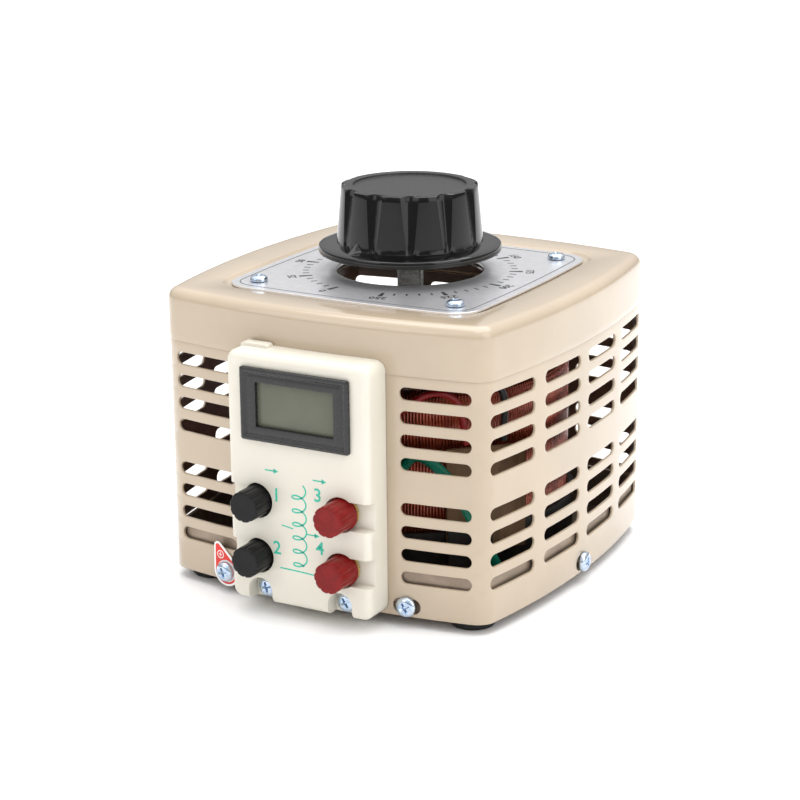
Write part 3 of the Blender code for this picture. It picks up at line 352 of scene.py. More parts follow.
RUBBER = surface("foot_rubber", (24, 24, 25), 0.75, 0, 0.2, 200, bump=0.04, bump_grain=1500)
KNOB = surface("knob_gloss", (6, 6, 7), 0.1, 0, 0.2, 70, 0.05, 0.012, 220, specular=0.45)
KNOB_GRAIN = surface("knob_grain", (34, 34, 36), 0.45, 0, 0.35, 1500, bump=0.16, bump_grain=1350)
PHENOLIC = surface("phenolic", (34, 30, 27), 0.5, 0, 0.25, 220, bump=0.03)
LAMINATE = surface("laminate", (122, 92, 62), 0.55, 0, 0.14, 260, bump=0.03, stretch=(1, 1, 0.25))
COPPER = surface("enamelled_copper", (150, 62, 36), 0.26, 0.7, 0.25, 90, 0.1, coat=0.5, stretch=(1, 1, 0.3))
CORE = surface("core_steel", (120, 120, 122), 0.5, 0.8, 0.15, 500, stretch=(6, 6, 0.4))
BRASS = surface("brass", (206, 178, 112), 0.28, 1, 0.1, 220)
NICKEL = surface("nickel_plate", (226, 224, 216), 0.3, 0.55, 0.06, 300)
BRONZE = surface("sintered_bronze", (168, 132, 88), 0.45, 1, 0.2, 1200, bump=0.04)
ALUMINIUM = surface("plain_aluminium", (190, 191, 193), 0.35, 1, 0.06, 140, stretch=(1, 8, 1))
CARBON = surface("carbon", (44, 44, 46), 0.6, 0, 0.3, 1500, bump=0.04, bump_grain=2000)
IVORY = surface("ivory_moulding", (219, 214, 201), 0.32, 0, 0.015, 40, 0.05, 0.012, 500)
BEZEL = surface("bezel_plastic", (30, 29, 31), 0.28, 0, 0.1, 400, bump=0.025, bump_grain=1800)
DISPLAY = surface("lcd_green", (98, 100, 87), 0.16, 0, 0.025, 90, 0.03, 0.001, 60, specular=0.25)
BOARD = surface("board_green", (30, 84, 52), 0.45, 0, 0.2, 420, bump=0.02)
CAP_BLACK = surface("cap_black", (20, 20, 21), 0.34, 0, 0.12, 350, bump=0.03, bump_grain=1500, specular=0.2)
CAP_RED = surface("cap_red", (120, 16, 16), 0.3, 0, 0.1, 350, bump=0.02, bump_grain=1300, specular=0.22)
TAG_RED = surface("tag_red", (222, 44, 34), 0.4, 0, 0.06, 300)
TAG_WHITE = surface("tag_white", (242, 242, 240), 0.4, 0, 0.03, 300)
TEAL = surface("teal_ink", (52, 186, 160), 0.5, 0, 0.06, 700)
LEAD_RED = surface("red_lead", (150, 18, 20), 0.36, 0, 0.12, 200)
LEAD_BLACK = surface("black_lead", (26, 26, 28), 0.4, 0, 0.2, 200)
LEAD_GREEN = surface("green_lead", (0, 128, 100), 0.4, 0, 0.12, 200)


# ---- The bowed square that the case and the dial plate share ----


class BowedSquare:
    """Four arcs of radius bow joined by corner arcs. Places run from -2 to 2 along each side."""

    def __init__(self, half, bow, corner):
        reach, span = bow - half, bow - corner
        self.half, self.bow, self.corner = half, bow, corner
        self.middle = (math.sqrt(2 * span * span - reach * reach) - reach) / 2
        self.swing = math.asin(self.middle / span)
        self.side = bow * self.swing
        self.turn = corner * (math.pi / 4 - self.swing)

    def inset(self, distance):
        return BowedSquare(self.half - distance, self.bow - distance, self.corner - distance)

    def place_of(self, along):
        if abs(along) <= self.side:
            return along / self.side
        return math.copysign(1 + (abs(along) - self.side) / self.turn, along)

    def point(self, side, place, z=0.0):
        if abs(place) <= 1:
            angle = self.swing * place
            x = self.half - self.bow + self.bow * math.cos(angle)
            y = self.bow * math.sin(angle)
        else:
            angle = self.swing + (math.pi / 4 - self.swing) * (abs(place) - 1)
            x = self.middle + self.corner * math.cos(angle)
            y = math.copysign(self.middle + self.corner * math.sin(angle), place)
        turn = side * QUARTER
        return (x * math.cos(turn) - y * math.sin(turn), x * math.sin(turn) + y * math.cos(turn), z)

    def ring(self, places, z, radius=None):
        """The outline at (side, place) pairs or, with a radius, a circle whose points lie on the same rays."""
        points = [self.point(*where) for where in places]
        scales = [radius / math.hypot(x, y) if radius else 1.0 for x, y, _ in points]
        return [(x * scale, y * scale, z) for (x, y, _), scale in zip(points, scales)]


CASE = BowedSquare(CASE_HALF, CASE_BOW, CASE_CORNER)
PLATE_SHAPE = BowedSquare(PLATE_HALF, PLATE_BOW, PLATE_CORNER)
RIGHT, BACK, LEFT, FRONT = range(4)
HALF_OUTLINE = CASE.side + CASE.turn


# ---- Case ----

ARC_STEPS, STRAIGHT_STEPS = 4, 5
ROUND_OVER = ((0.55, 0.0), (0.3, 0.03), (0.1, 0.14), (0.0, 0.38), (0.0, 0.95), (0.25, CASE_WALL))
# The inner faces of both sheets take the dark inside material, which paints in their shade.
INSIDE = 1  # the second material of the sheets


def side_columns(side):
    """(left, right, slot left, slot right) of each column of a side, in mm from the side's middle."""
    if side == FRONT:
        edge, near, far = 34.5, 37.7, 66.4
        return [(-HALF_OUTLINE, -edge, -far, -near), (-edge, edge, None, None), (edge, HALF_OUTLINE, near, far)]
    edge, near, far = 36.2, (3.75, 32.45), (39.95, 68.65)
    right = [(0.0, edge, *near), (edge, HALF_OUTLINE, *far)]
    return [(-b, -a, -d, -c) for a, b, c, d in reversed(right)] + right


def column_stations(left, right, slot_left, slot_right):
    if slot_left is None:
        return spaced(left, right, 12)
    start, end = slot_left + SLOT_HALF, slot_right - SLOT_HALF
    stations = spaced(left, start, ARC_STEPS) + spaced(start, end, STRAIGHT_STEPS)[1:]
    return stations + spaced(end, right, ARC_STEPS)[1:]


STATIONS = [(side, u) for side in range(4) for column in side_columns(side) for u in column_stations(*column)[:-1]]
PLACES = [(side, CASE.place_of(u)) for side, u in STATIONS]


def slot_outline(slot_left, slot_right, middle, grow):
    """Points round a slot in step with its cell's border, from the border's lower left corner counterclockwise."""
    radius = SLOT_HALF + grow
    start, end = slot_left + SLOT_HALF, slot_right - SLOT_HALF
    points = arc(radius, -1.5 * QUARTER, -QUARTER, ARC_STEPS, start, middle)[:-1]
    points += [(x, middle - radius) for x in spaced(start, end, STRAIGHT_STEPS)]
    points += arc(radius, -QUARTER, QUARTER, 4 * ARC_STEPS, end, middle)[1:-1]
    points += [(x, middle + radius) for x in spaced(end, start, STRAIGHT_STEPS)]
    return points + arc(radius, QUARTER, 2.5 * QUARTER, 3 * ARC_STEPS, start, middle)[1:-1]


def cell_border(stations, low, high):
    zs = spaced(low, high, 2 * ARC_STEPS)
    points = [(u, low) for u in stations[:-1]] + [(stations[-1], z) for z in zs[:-1]]
    points += [(u, high) for u in reversed(stations[1:])]
    return points + [(stations[0], z) for z in reversed(zs[1:])]


def case_rings(profile):
    """Rings right round the case from (depth, height) pairs."""
    return [CASE.inset(depth).ring(PLACES, z) for depth, z in profile]


def rolled_edge(edge, end):
    """(depth, height) of a sheet's rounded edge, from its outside to its inside."""
    depth, bend, flat = 0.1, edge + 0.7 * (end - edge), 0.35
    outside = [(0, edge), (depth, bend), (flat, end)]
    return outside + [(CASE_WALL - d, z) for d, z in reversed(outside)]


def wall_mesh():
    """The slotted sheet: a cell round every slot, plain bands between, and rolled edges."""
    bm = bmesh.new()
    half_cell = SLOT_PITCH / 2
    rows = [low + row * SLOT_PITCH for low in SLOT_GROUPS for row in range(SLOT_ROWS)]
    low_edge, high_edge = 0.4, SEAM - 0.4
    plain = [
        [low_edge, 3.0, 6.0, 9.0, rows[0] - half_cell],
        spaced(rows[3] + half_cell, rows[4] - half_cell, 2),
        [rows[7] + half_cell, high_edge],
    ]
    for side in range(4):

        def verts(points, depth):
            skin = CASE.inset(depth)
            return loop_verts(bm, [skin.point(side, CASE.place_of(u), z) for u, z in points])

        for column in side_columns(side):
            stations = column_stations(*column)
            solid = column[2] is None
            bands = plain + [spaced(z - half_cell, z + half_cell, 2 * ARC_STEPS) for z in rows if solid]
            for depth, material in ((0.0, 0), (CASE_WALL, INSIDE)):
                for zs in bands:
                    grid = [verts([(u, z) for u in stations], depth) for z in zs]
                    for lower, upper in zip(grid, grid[1:]):
                        for a, b, c, d in zip(lower, lower[1:], upper[1:], upper):
                            bm.faces.new((a, b, c, d)).material_index = material
            for z in () if solid else rows:
                border = cell_border(stations, z - half_cell, z + half_cell)
                loops = [verts(border, 0.0)]
                loops += [verts(slot_outline(*column[2:], z, grow), depth) for grow, depth in ROUND_OVER]
                for lower, upper in zip(loops, loops[1:]):
                    bridge(bm, lower, upper)
                bridge(bm, loops[-1], verts(border, CASE_WALL), INSIDE)
    for edge, end in ((low_edge, 0.0), (high_edge, SEAM)):
        loft(bm, case_rings(rolled_edge(edge, end)))
    cuts = bmesh.new()
    for side, along in ((FRONT, FRONT_SCREW_X), (FRONT, EARTH_SCREW_X), (RIGHT, 0.0), (LEFT, 0.0), (BACK, 0.0)):
        slot = prism(rounded_rectangle(5.8, 3.1, 3.09, 8), -3, 3)
        merge(cuts, moved(slot, side_place(side, along, CASE_SCREW_Z)))
    for x in (-PANEL_SCREW_X, PANEL_SCREW_X):
        hole = prism(rounded_rectangle(2.3, 2.3, 2.29, 5), -4, 4)
        merge(cuts, moved(hole, side_place(FRONT, x, PANEL_SCREW_Y)))
    for z, tall in ((METER_MIDDLE, 25.4), (31.5, 40.0)):
        merge(cuts, box((47.4, 12, tall), (0, -CASE_HALF, z)))
    return baked(finish_mesh(bm, 40, (PAINT, INSIDE_SHADE)), ("cut", cuts))


def dial_screw_holes(low, z):
    cuts = bmesh.new()
    for x in (-DIAL_SCREW_AT, DIAL_SCREW_AT):
        for y in (-DIAL_SCREW_AT, DIAL_SCREW_AT):
            merge(cuts, moved(rod(2.2, low, 2, 20), shift(x, y, z)))
    return cuts


def top_mesh():
    """The drawn top: a skirt that laps the wall by a hair, the rounded edge, the recess and the dial hole."""
    proud, lip = 0.25, 0.5
    low, bend, floor = SEAM + GAP, CASE_TOP - CASE_FILLET, CASE_TOP - RECESS_DEPTH
    recess = BowedSquare(RECESS_HALF, PLATE_BOW, PLATE_CORNER + 1.5)

    def fillet(start, radius, steps):
        """(depth, sine of the turn) round the top edge, past its first point at the depth start."""
        turns = spaced(0, QUARTER, steps)[1:]
        return [(start + radius * (1 - math.cos(a)), math.sin(a)) for a in turns]

    skirt = [(CASE_WALL, low + 0.6), (CASE_WALL - 0.35, low), (-0.02, low), (-0.02, low - 0.6)]
    skirt += [(-0.08, low - 0.7), (-0.17, low - 0.7), (-proud, low - 0.55)]
    skirt += [(-proud, z) for z in spaced(low + 2, bend, 4)]
    skirt += [(d, bend + CASE_FILLET * s) for d, s in fillet(-proud, CASE_FILLET + proud, 8)]
    inside = [(CASE_WALL, z) for z in spaced(low + 0.6, bend, 3)]
    inner = CASE_FILLET - CASE_WALL
    inside += [(d, bend + inner * s) for d, s in fillet(CASE_WALL, inner, 4)]

    bm = bmesh.new()
    top = case_rings(skirt)
    for share in (0.0, 0.15, 0.3, 0.5, 0.7, 0.85, 1.0):
        drop = RECESS_DEPTH * share * share * (3 - 2 * share)
        top.append(recess.inset(-RECESS_RUN * (1 - share)).ring(PLACES, CASE_TOP - drop))
    top += [recess.ring(PLACES, floor, DIAL_HOLE + lip), recess.ring(PLACES, floor - 0.3, DIAL_HOLE)]
    under = case_rings(inside)
    under += [recess.inset(-RECESS_RUN).ring(PLACES, CASE_TOP - CASE_WALL), recess.ring(PLACES, floor - CASE_WALL)]
    under += [recess.ring(PLACES, floor - CASE_WALL, DIAL_HOLE + lip)]
    under += [recess.ring(PLACES, floor - CASE_WALL + 0.2, DIAL_HOLE)]
    bridge(bm, loft(bm, top)[-1], loft(bm, under, INSIDE)[-1])
    return baked(finish_mesh(bm, 40, (PAINT, INSIDE_SHADE)), ("cut", dial_screw_holes(-5, CASE_TOP)))


def side_place(side, along, z, lift=0.0):
    """A place on the case whose +Z points straight out of the wall."""
    where = CASE.inset(-lift).point(side, CASE.place_of(along), z)
    return shift(*where) @ spin(side * QUARTER + along / CASE_BOW + QUARTER) @ spin(QUARTER, "X")


def make_case():
    put("wall_sheet", wall_mesh(), AXIS, PAINT, "case", "beige_enamel", "case_wall")
    put("top_sheet", top_mesh(), AXIS, PAINT, "case", "beige_enamel", "case_top")


# ---- Dial plate ----

PLATE_PLACES = [(side, place) for side in range(4) for place in spaced(-2, 2, 32)[:-1]]
PRINT_LIFT, PRINT_THICK = 0.01, 0.04
DIAL_VOLTS, DIAL_STEP = 250, 25
DIAL_SWEEP = math.radians(330)


def make_dial_plate():
    low = PLATE_TOP - PLATE_THICK
    rim = [(38, 0), (36.4, 0.06), (35, 0.28), (33.6, 0.62), (32.4, 0.82), (31.2, 0.86), (30.4, 0.7), (30.1, 0.35)]
    edge = 0.15
    rings = [PLATE_SHAPE.ring(PLATE_PLACES, z) for z in (low, PLATE_TOP - edge)]
    rings.append(PLATE_SHAPE.inset(edge).ring(PLATE_PLACES, PLATE_TOP))
    rings += [PLATE_SHAPE.ring(PLATE_PLACES, PLATE_TOP + z, r) for r, z in rim]
    rings += [PLATE_SHAPE.ring(PLATE_PLACES, low + max(0.0, z - 0.1), r + 0.1) for r, z in reversed(rim)]
    bm = bmesh.new()
    loft(bm, rings, closed=True)
    mesh = baked(finish_mesh(bm, 30), ("cut", dial_screw_holes(-2, low)))
    put("dial_sheet", mesh, AXIS, PLATE, "case", "dial_aluminium", "dial_plate")


def make_dial_print():
    """Border line, ticks and numbers, as thin solids on the plate."""
    low = PLATE_TOP + PRINT_LIFT
    high = low + PRINT_THICK
    border, ticks, numbers = bmesh.new(), bmesh.new(), bmesh.new()
    lines = ((3.1, low), (3.1, high), (3.65, high), (3.65, low))
    loft(border, [PLATE_SHAPE.inset(distance).ring(PLATE_PLACES, z) for distance, z in lines], closed=True)
    for volts in range(0, DIAL_VOLTS + 1, 5):
        angle = ZERO_ANGLE - DIAL_SWEEP * volts / DIAL_VOLTS
        main = volts % DIAL_STEP == 0
        start, length, width, blunt = (40.4, 5.4, 1.9, 0.55) if main else (41.2, 2.6, 0.8, 0.8)
        foot, head = width * blunt / 2, width / 2
        outline = [(start, -foot), (start + length, -head), (start + length, head), (start, foot)]
        merge(ticks, moved(prism(outline, low, high), spin(angle)))
        if main:
            figures = lettering(str(volts), 3.5, high - low)
            merge(numbers, moved(figures, spin(angle - QUARTER) @ shift(0, 48.6, low)))
    put("dial_border", finish_mesh(border), AXIS, GREY_INK, "case", "dial_aluminium")
    put("dial_ticks", finish_mesh(ticks), AXIS, INK, "case", "dial_aluminium")
    put("dial_numbers", finish_mesh(numbers), AXIS, INK, "case", "dial_aluminium")


def lettering(text, size, thick):
    """Plain figures as a thin solid in mm, centred on the origin."""
    curve = bpy.data.curves.new("figures", "FONT")
    curve.body = text
    curve.size = size * 1.35
    curve.align_x, curve.align_y = "CENTER", "CENTER"
    curve.extrude = thick / 2
    curve.offset = size * 0.018
    curve.resolution_u = 3
    obj = add_object("figures", curve)
    graph = bpy.context.evaluated_depsgraph_get()
    mesh = bpy.data.meshes.new_from_object(obj.evaluated_get(graph))
    bm = bmesh.new()
    bm.from_mesh(mesh)
    bpy.data.objects.remove(obj)
    bpy.data.meshes.remove(mesh)
    bpy.data.curves.remove(curve)
    return moved(bm, shift(0, 0, thick / 2))


# ---- Screws ----


def pan_head(radius, tall, shank, length):
    """A cross-recessed pan head above z = 0 on a plain shank."""
    profile = [(0, -length), (shank - 0.4, -length), (shank, -length + 0.5), (shank, 0), (radius - 0.12, 0)]
    profile += [(radius, 0.14), (radius, tall * 0.3)]
    dome = spaced(0, QUARTER, 8)[1:]
    profile += [(radius * 0.42 + radius * 0.58 * math.cos(a), tall * (0.3 + 0.7 * math.sin(a))) for a in dome]
    reach, wide, deep = radius * 0.56, radius * 0.105, tall * 0.72
    steps = []
    for turn in (0, QUARTER):
        blade = bmesh.new()
        ends = ((reach * 0.5, wide * 0.75, tall - deep), (reach * 1.08, wide * 1.25, tall + 0.4))
        loft(blade, [[(x, y, z), (-x, y, z), (-x, -y, z), (x, -y, z)] for x, y, z in ends], caps=True)
        steps.append(("cut", moved(blade, spin(turn))))
    hub = [(0, tall - deep * 1.05), (wide * 1.9, tall - deep * 0.8), (wide * 2.4, tall + 0.4), (0, tall + 0.4)]
    steps += [("cut", moved(turned(hub, 12), spin(0.3))), ("bevel", 0.07, 50)]
    return baked(finish_mesh(turned([*profile, (0, tall)], 48)), *steps)


def in_metres(matrix):
    result = matrix.copy()
    result.translation *= MM
    return result


def make_screws():
    dial, side, long = pan_head(3.6, 2.2, 1.8, 6), pan_head(4.1, 2.4, 1.9, 7), pan_head(4.1, 2.4, 1.9, 12)

    def screw(node, mesh, place, turn):
        put(node + "_detail", mesh, place @ spin(turn), ZINC, "case", "zinc", node)

    for end, y, turns in (("front", -DIAL_SCREW_AT, (0.4, 1.1)), ("back", DIAL_SCREW_AT, (0.2, 0.7))):
        for hand, x, turn in zip(("left", "right"), (-DIAL_SCREW_AT, DIAL_SCREW_AT), turns):
            screw("dial_screw_%s_%s" % (end, hand), dial, AXIS @ spot(x, y, PLATE_TOP + GAP), turn)
    for node, face, along, lift, turn in (
        ("case_screw_front", FRONT, FRONT_SCREW_X, GAP, 0.5),
        ("case_screw_right", RIGHT, 0.0, GAP, 0.15),
        ("case_screw_left", LEFT, 0.0, GAP, 0.9),
        ("case_screw_back", BACK, 0.0, GAP, 0.35),
        ("earth_screw", FRONT, EARTH_SCREW_X, 1.2, 0.35),
    ):
        screw(node, side, AXIS @ in_metres(side_place(face, along, CASE_SCREW_Z, lift)), turn)
    seat = out(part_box("panel_screw_left")[0].y) - 2.4
    for node, x, turn in (("panel_screw_left", -PANEL_SCREW_X, 0.25), ("panel_screw_right", PANEL_SCREW_X, 0.6)):
        screw(node, long, PANEL @ spot(x, PANEL_SCREW_Y, seat), turn)


# ---- Knob ----

FLUTES = 12
KNOB_BORE, KNOB_BORE_TOP, GRUB_SCREW_Z = 5.7, 145, 138
CROWN = 1  # the second material of the knob


def knob_ring(z, foot, top):
    """One ring of the fluted body: flat lands between grooves that narrow towards the foot."""
    share = (z - foot) / (top - foot)
    land, deep, half = 29.8 - 2.0 * share, 0.55 + 1.35 * share, 0.1 + 0.15 * share
    points = []
    for flute in range(FLUTES):
        middle = flute + 0.5
        for place in (-half, -half * 0.55, 0.0, half * 0.55, half):
            points.append(polar(land - deep * (1 - (place / half) ** 2), TURN * (middle + place) / FLUTES, z))
        for place in (0.2, 0.4, 0.6, 0.8):
            points.append(polar(land, TURN * (middle + half + (1 - 2 * half) * place) / FLUTES, z))
    return points


def make_knob():
    low, top = (height(corner.z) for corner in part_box("knob"))
    skirt_top, crown_z = low + 3.7, top - 1.2
    foot, head = skirt_top + 0.5, top - 0.5
    first = knob_ring(foot, foot, head)
    turn = math.atan2(first[0][1], first[0][0])
    skirt = [(KNOB_BORE, low + 0.6), (20, low + 0.6), (20.6, low), (36.6, low), (37.05, low + 0.25)]
    skirt += [(37.15, low + 0.8), (37.15, low + 2.2), (36.95, low + 2.75), (36.3, low + 3.1)]
    skirt += [(33, skirt_top + 0.1), (30.1, skirt_top + 0.4)]
    rim = [(26.0, top - 0.05), (25.4, top), (23.4, top), (22.9, top - 0.25), (22.8, top - 1.0)]
    rim += [(22.4, crown_z), (16, crown_z), (8, crown_z)]

    def rings(profile):
        return [circle(radius, z, len(first), turn) for radius, z in profile]

    bm = bmesh.new()
    body = loft(bm, rings(skirt) + [knob_ring(z, foot, head) for z in spaced(foot, head, 10)])
    crown = loft(bm, rings(rim), CROWN)
    bridge(bm, body[-1], crown[0])
    cap(bm, crown[-1], CROWN)
    bore = loop_verts(bm, circle(KNOB_BORE, KNOB_BORE_TOP, len(first), turn))
    bridge(bm, body[0], bore)
    cap(bm, bore)
    pointer = bmesh.new()
    base = loop_verts(pointer, [(x, y, skirt_top - 0.6) for x, y in ((26.5, -5.2), (35.8, 0), (26.5, 5.2))])
    peak = pointer.verts.new((27.6, 0, skirt_top + 5.2))
    cap(pointer, base)
    for i, vert in enumerate(base):
        pointer.faces.new((vert, base[(i + 1) % 3], peak))
    hole = moved(rod(2.4, -34, -4, 24), shift(0, 0, GRUB_SCREW_Z) @ spin(QUARTER, "Y"))
    mesh = baked(finish_mesh(bm, 20, (KNOB, KNOB_GRAIN)), ("join", pointer), ("cut", hole), ("bevel", 0.22, 24))
    put("knob_moulding", mesh, ROTOR, KNOB, "rotor", "knob_black", "knob")
    screw = turned([(0, -14), (1.9, -14), (2.0, -13.9), (2.0, -5.8), (1.2, -5.6), (0, -5.6)], 24)
    mesh = baked(finish_mesh(screw), ("cut", box((0.5, 5, 1.6), (0, 0, -14))))
    place = ROTOR @ spot(0, 0, GRUB_SCREW_Z) @ spin(QUARTER, "Y")
    put("knob_grub_screw", mesh, place, STEEL, "rotor", "steel", "knob_set_screw")


def make_shaft():
    """The shaft, with a diamond knurl where it passes the dial and enters the knob."""
    low, high = height(shaft_low.z), height(shaft_high.z)
    radius, depth, knurl_low, knurl_high, run_out, row = 5.3, 0.4, 108.0, 130.0, 0.6, 0.16
    steps, ridges, slope, sharp = 288, 36, 1.15, 1.4
    plain = [(0.001, low), (4.4, low), (5.0, low + 0.6), (5.0, 104.0), (5.2, 104.2), (5.2, knurl_low)]
    rings = [circle(r, z, steps) for r, z in plain]
    for z in spaced(knurl_low, knurl_high, int((knurl_high - knurl_low) / row)):
        edge = min(1.0, (z - knurl_low) / run_out, (knurl_high - z) / run_out)
        lean = z / radius / slope
        points = []
        for i in range(steps):
            angle = TURN * i / steps
            groove = min(abs(math.sin(ridges * (angle + turn) / 2)) for turn in (lean, -lean))
            points.append(polar(radius - depth * edge * (1 - min(1.0, sharp * groove)), angle, z))
        rings.append(points)
    plain = ((5.2, knurl_high + 0.3), (5.2, high - 0.6), (4.6, high), (0.001, high))
    bm = bmesh.new()
    loft(bm, rings + [circle(r, z, steps) for r, z in plain])
    put("shaft_knurled", finish_mesh(bm, 60), ROTOR, STEEL, "rotor", "steel", "shaft")


def make_spring():
    """The brush spring, as a coil of round wire between the heights of the frame's spring."""
    low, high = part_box("brush_spring")
    brush_radius, lift, wire, coil, turns, per_turn, sides = 49.0, 3.0, 0.3, 2.2, 4.5, 24, 10
    first, last = height(low.z) + wire, height(high.z) - wire
    steps = int(turns * per_turn)
    rings = []
    for i, z in enumerate(spaced(first, last, steps)):
        angle = TURN * i / per_turn
        section = arc(wire, 0, TURN, sides, coil, z)[:-1]
        rings.append([(brush_radius + r * math.cos(angle), r * math.sin(angle), h) for r, h in section])
    bm = bmesh.new()
    loft(bm, rings, caps=True)
    spring = put("spring_coil", finish_mesh(bm), ROTOR, STEEL, "rotor", "steel", "brush_spring")
    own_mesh(spring)


# ---- Terminal panel ----


def panel_mesh():
    rim = CASE.inset(-GAP)
    middle, tall = (PANEL_LOW + PANEL_HIGH) / 2, (PANEL_HIGH - PANEL_LOW) / 2
    edge, corner, skin = 3.0, 4.2, 2.7
    rings = []
    for angle in spaced(0, QUARTER, 6):
        inset = edge * (1 - math.sin(angle))
        depth = PANEL_FRONT - edge * (1 - math.cos(angle))
        shape = outline_with_sides(PANEL_HALF - inset, tall - inset, corner - inset)
        rings.append([(x, y + middle, depth) for x, y in shape])
    front = PANEL_FRONT - edge
    rear = [-rim.point(FRONT, rim.place_of(rim.bow * math.asin(x / rim.bow)))[1] for x, y in shape]
    for share in (0.5, 1.0):
        rings.append([(x, y + middle, front + (z - front) * share) for (x, y), z in zip(shape, rear)])
    bm = bmesh.new()
    loops = loft(bm, rings)
    cap(bm, loops[0])
    back = loops[-1]
    for i in range(len(back) // 2 - 1):
        bm.faces.new((back[i], back[i + 1], back[-i - 2], back[-i - 1]))
    cuts = box((45, 26, 20), (0, METER_MIDDLE, PANEL_FRONT))
    bores = bmesh.new()
    for side in (-1, 1):
        for y in POST_ROWS:
            merge(cuts, moved(post_pocket(), shift(side * POST_X, y, 0) @ spin(0 if side > 0 else math.pi)))
            merge(bores, moved(rod(2.9, 60, 92, 24), shift(side * POST_X, y, 0)))
        merge(cuts, screw_notch(side * PANEL_SCREW_X))
        merge(bores, moved(rod(2.3, 60, 92, 20), shift(side * PANEL_SCREW_X, PANEL_SCREW_Y, 0)))
    hollow = [(60, 13.5), (84.3, 13.5), (84.3, 56), (89, 56), (89, PANEL_HIGH - skin), (60, PANEL_HIGH - skin)]
    hollow = moved(prism(hollow, skin - PANEL_HALF, PANEL_HALF - skin), spin(-QUARTER, "Y"))
    tab = moved(prism(rounded_rectangle(6.0, 2.0, 1.2, 4), 79.5, 84.0), shift(-23.0, PANEL_HIGH - 0.6, 0))
    steps = [("join", tab), ("cut", cuts), ("cut", hollow), ("cut", bores), ("bevel", 0.5, 48)]
    return baked(finish_mesh(bm, 30), *steps)


def outline_with_sides(half_x, half_y, radius):
    """A rounded rectangle that starts at the right end of its lower edge and runs up, over and back.

    Its points mirror left to right: point i of the first half pairs with point -1 - i.
    """
    x, y, steps, rungs, spans = half_x - radius, half_y - radius, 5, 14, 8
    right = [(u, -half_y) for u in spaced(0, x, spans)[1:]] + arc(radius, -QUARTER, 0, steps, x, -y)[1:]
    right += [(half_x, v) for v in spaced(-y, y, rungs)[1:]] + arc(radius, 0, QUARTER, steps, x, y)[1:]
    right += [(u, half_y) for u in spaced(x, 0, spans)[1:-1]]
    return right + [(-u, v) for u, v in reversed(right)]


def post_pocket():
    """The pocket round a post and its channel towards +X."""
    start = math.asin(CHANNEL_HALF / POCKET_RADIUS)
    outline = arc(POCKET_RADIUS, start, TURN - start, 32)
    outline += [(PANEL_HALF, -CHANNEL_HALF), (PANEL_HALF, CHANNEL_HALF)]
    return prism(outline, POCKET_FLOOR, PANEL_FRONT + 3)


def screw_notch(x):
    radius, below = 5.4, -3
    outline = arc(radius, 0, math.pi, 16, x, PANEL_SCREW_Y) + [(x - radius, below), (x + radius, below)]
    return prism(outline, 85.0, PANEL_FRONT + 3)


def ribbon(path, width, low, high, closed=False):
    """A flat printed line along a path of (x, y) points."""
    count = len(path)
    rings = []
    for i, (x, y) in enumerate(path):
        before = path[(i - 1) % count] if closed or i else path[i]
        after = path[(i + 1) % count] if closed or i < count - 1 else path[i]
        dx, dy = after[0] - before[0], after[1] - before[1]
        half = width / 2 / math.hypot(dx, dy)
        a, b = (x - dy * half, y + dx * half), (x + dy * half, y - dx * half)
        rings.append([(*a, low), (*a, high), (*b, high), (*b, low)])
    bm = bmesh.new()
    loft(bm, rings, closed=closed, caps=not closed)
    return bm


def make_panel():
    """The moulding, and its print: a coil symbol with its taps, arrows for in and out, a number for each post."""
    put("panel_moulding", panel_mesh(), PANEL, IVORY, "case", "ivory", "terminal_panel")
    low = PANEL_FRONT + PRINT_LIFT
    high = low + PRINT_THICK
    steps, top, bottom, middle = 144, 50.5, 17.5, 0.6
    coil = []
    for i, y in enumerate(spaced(top, bottom, steps)):
        angle = TURN * i / 24 + 0.6
        coil.append((middle + 3.1 * math.sin(angle), y + 1.9 * math.cos(angle)))
    arrow = [(0, 0), (-2.3, 1.0), (-2.3, -1.0)]
    lines = [
        (coil, 0.62),
        ([(-8.6, 16.9), (coil[-1][0], 16.6), (11.5, 16.0)], 0.55),
        ([(middle - 2.9, 33.8), (-7.4, 34.6)], 0.5),
        ([(middle + 3.2, 32.6), (8.0, 32.6)], 0.5),
    ]
    art = prism([(x + 9.6, y + 32.6) for x, y in arrow], low, high)
    for x, y in ((-11.5, 56.0), (10.0, 55.0)):
        lines.append(([(x - 3, y), (x + 1.4, y)], 0.55))
        merge(art, prism([(x + 3 + a * 0.9, y + b * 1.1) for a, b in arrow], low, high))
    merge(art, *(ribbon(path, width, low, high) for path, width in lines))
    for figure, x, y in (("1", -9.6, 46.2), ("2", -9.8, 24.6), ("3", 9.0, 48.9), ("4", 9.6, 27.6)):
        merge(art, moved(lettering(figure, 5.6, high - low), shift(x, y, low)))
    put("panel_print", finish_mesh(art), PANEL, TEAL, "case", "ivory")


# ---- Meter ----

BEZEL_PROUD = 2.0
BEZEL_PROFILE = (  # half width, half height, corner radius, height over the bezel's face
    (24.0, 14.5, 0.9, -1.7), (24.0, 14.5, 0.9, -0.5), (23.75, 14.25, 0.8, -0.15), (23.3, 13.8, 0.7, 0.0),
    (22.6, 13.1, 0.6, -0.02), (22.1, 12.6, 0.5, -0.2), (21.7, 12.2, 0.4, -0.75), (21.4, 11.9, 0.35, -0.9),
    (21.1, 11.6, 0.3, -0.82), (17.6, 9.2, 0.25, -0.62), (17.3, 8.9, 0.2, -0.72), (17.2, 8.8, 0.2, -1.0),
    (17.2, 8.8, 0.2, -2.1), (20.0, 11.2, 0.2, -2.1), (20.0, 11.2, 0.2, -9.5), (22.2, 12.7, 0.2, -9.5),
    (22.2, 12.7, 0.2, -1.7),
)


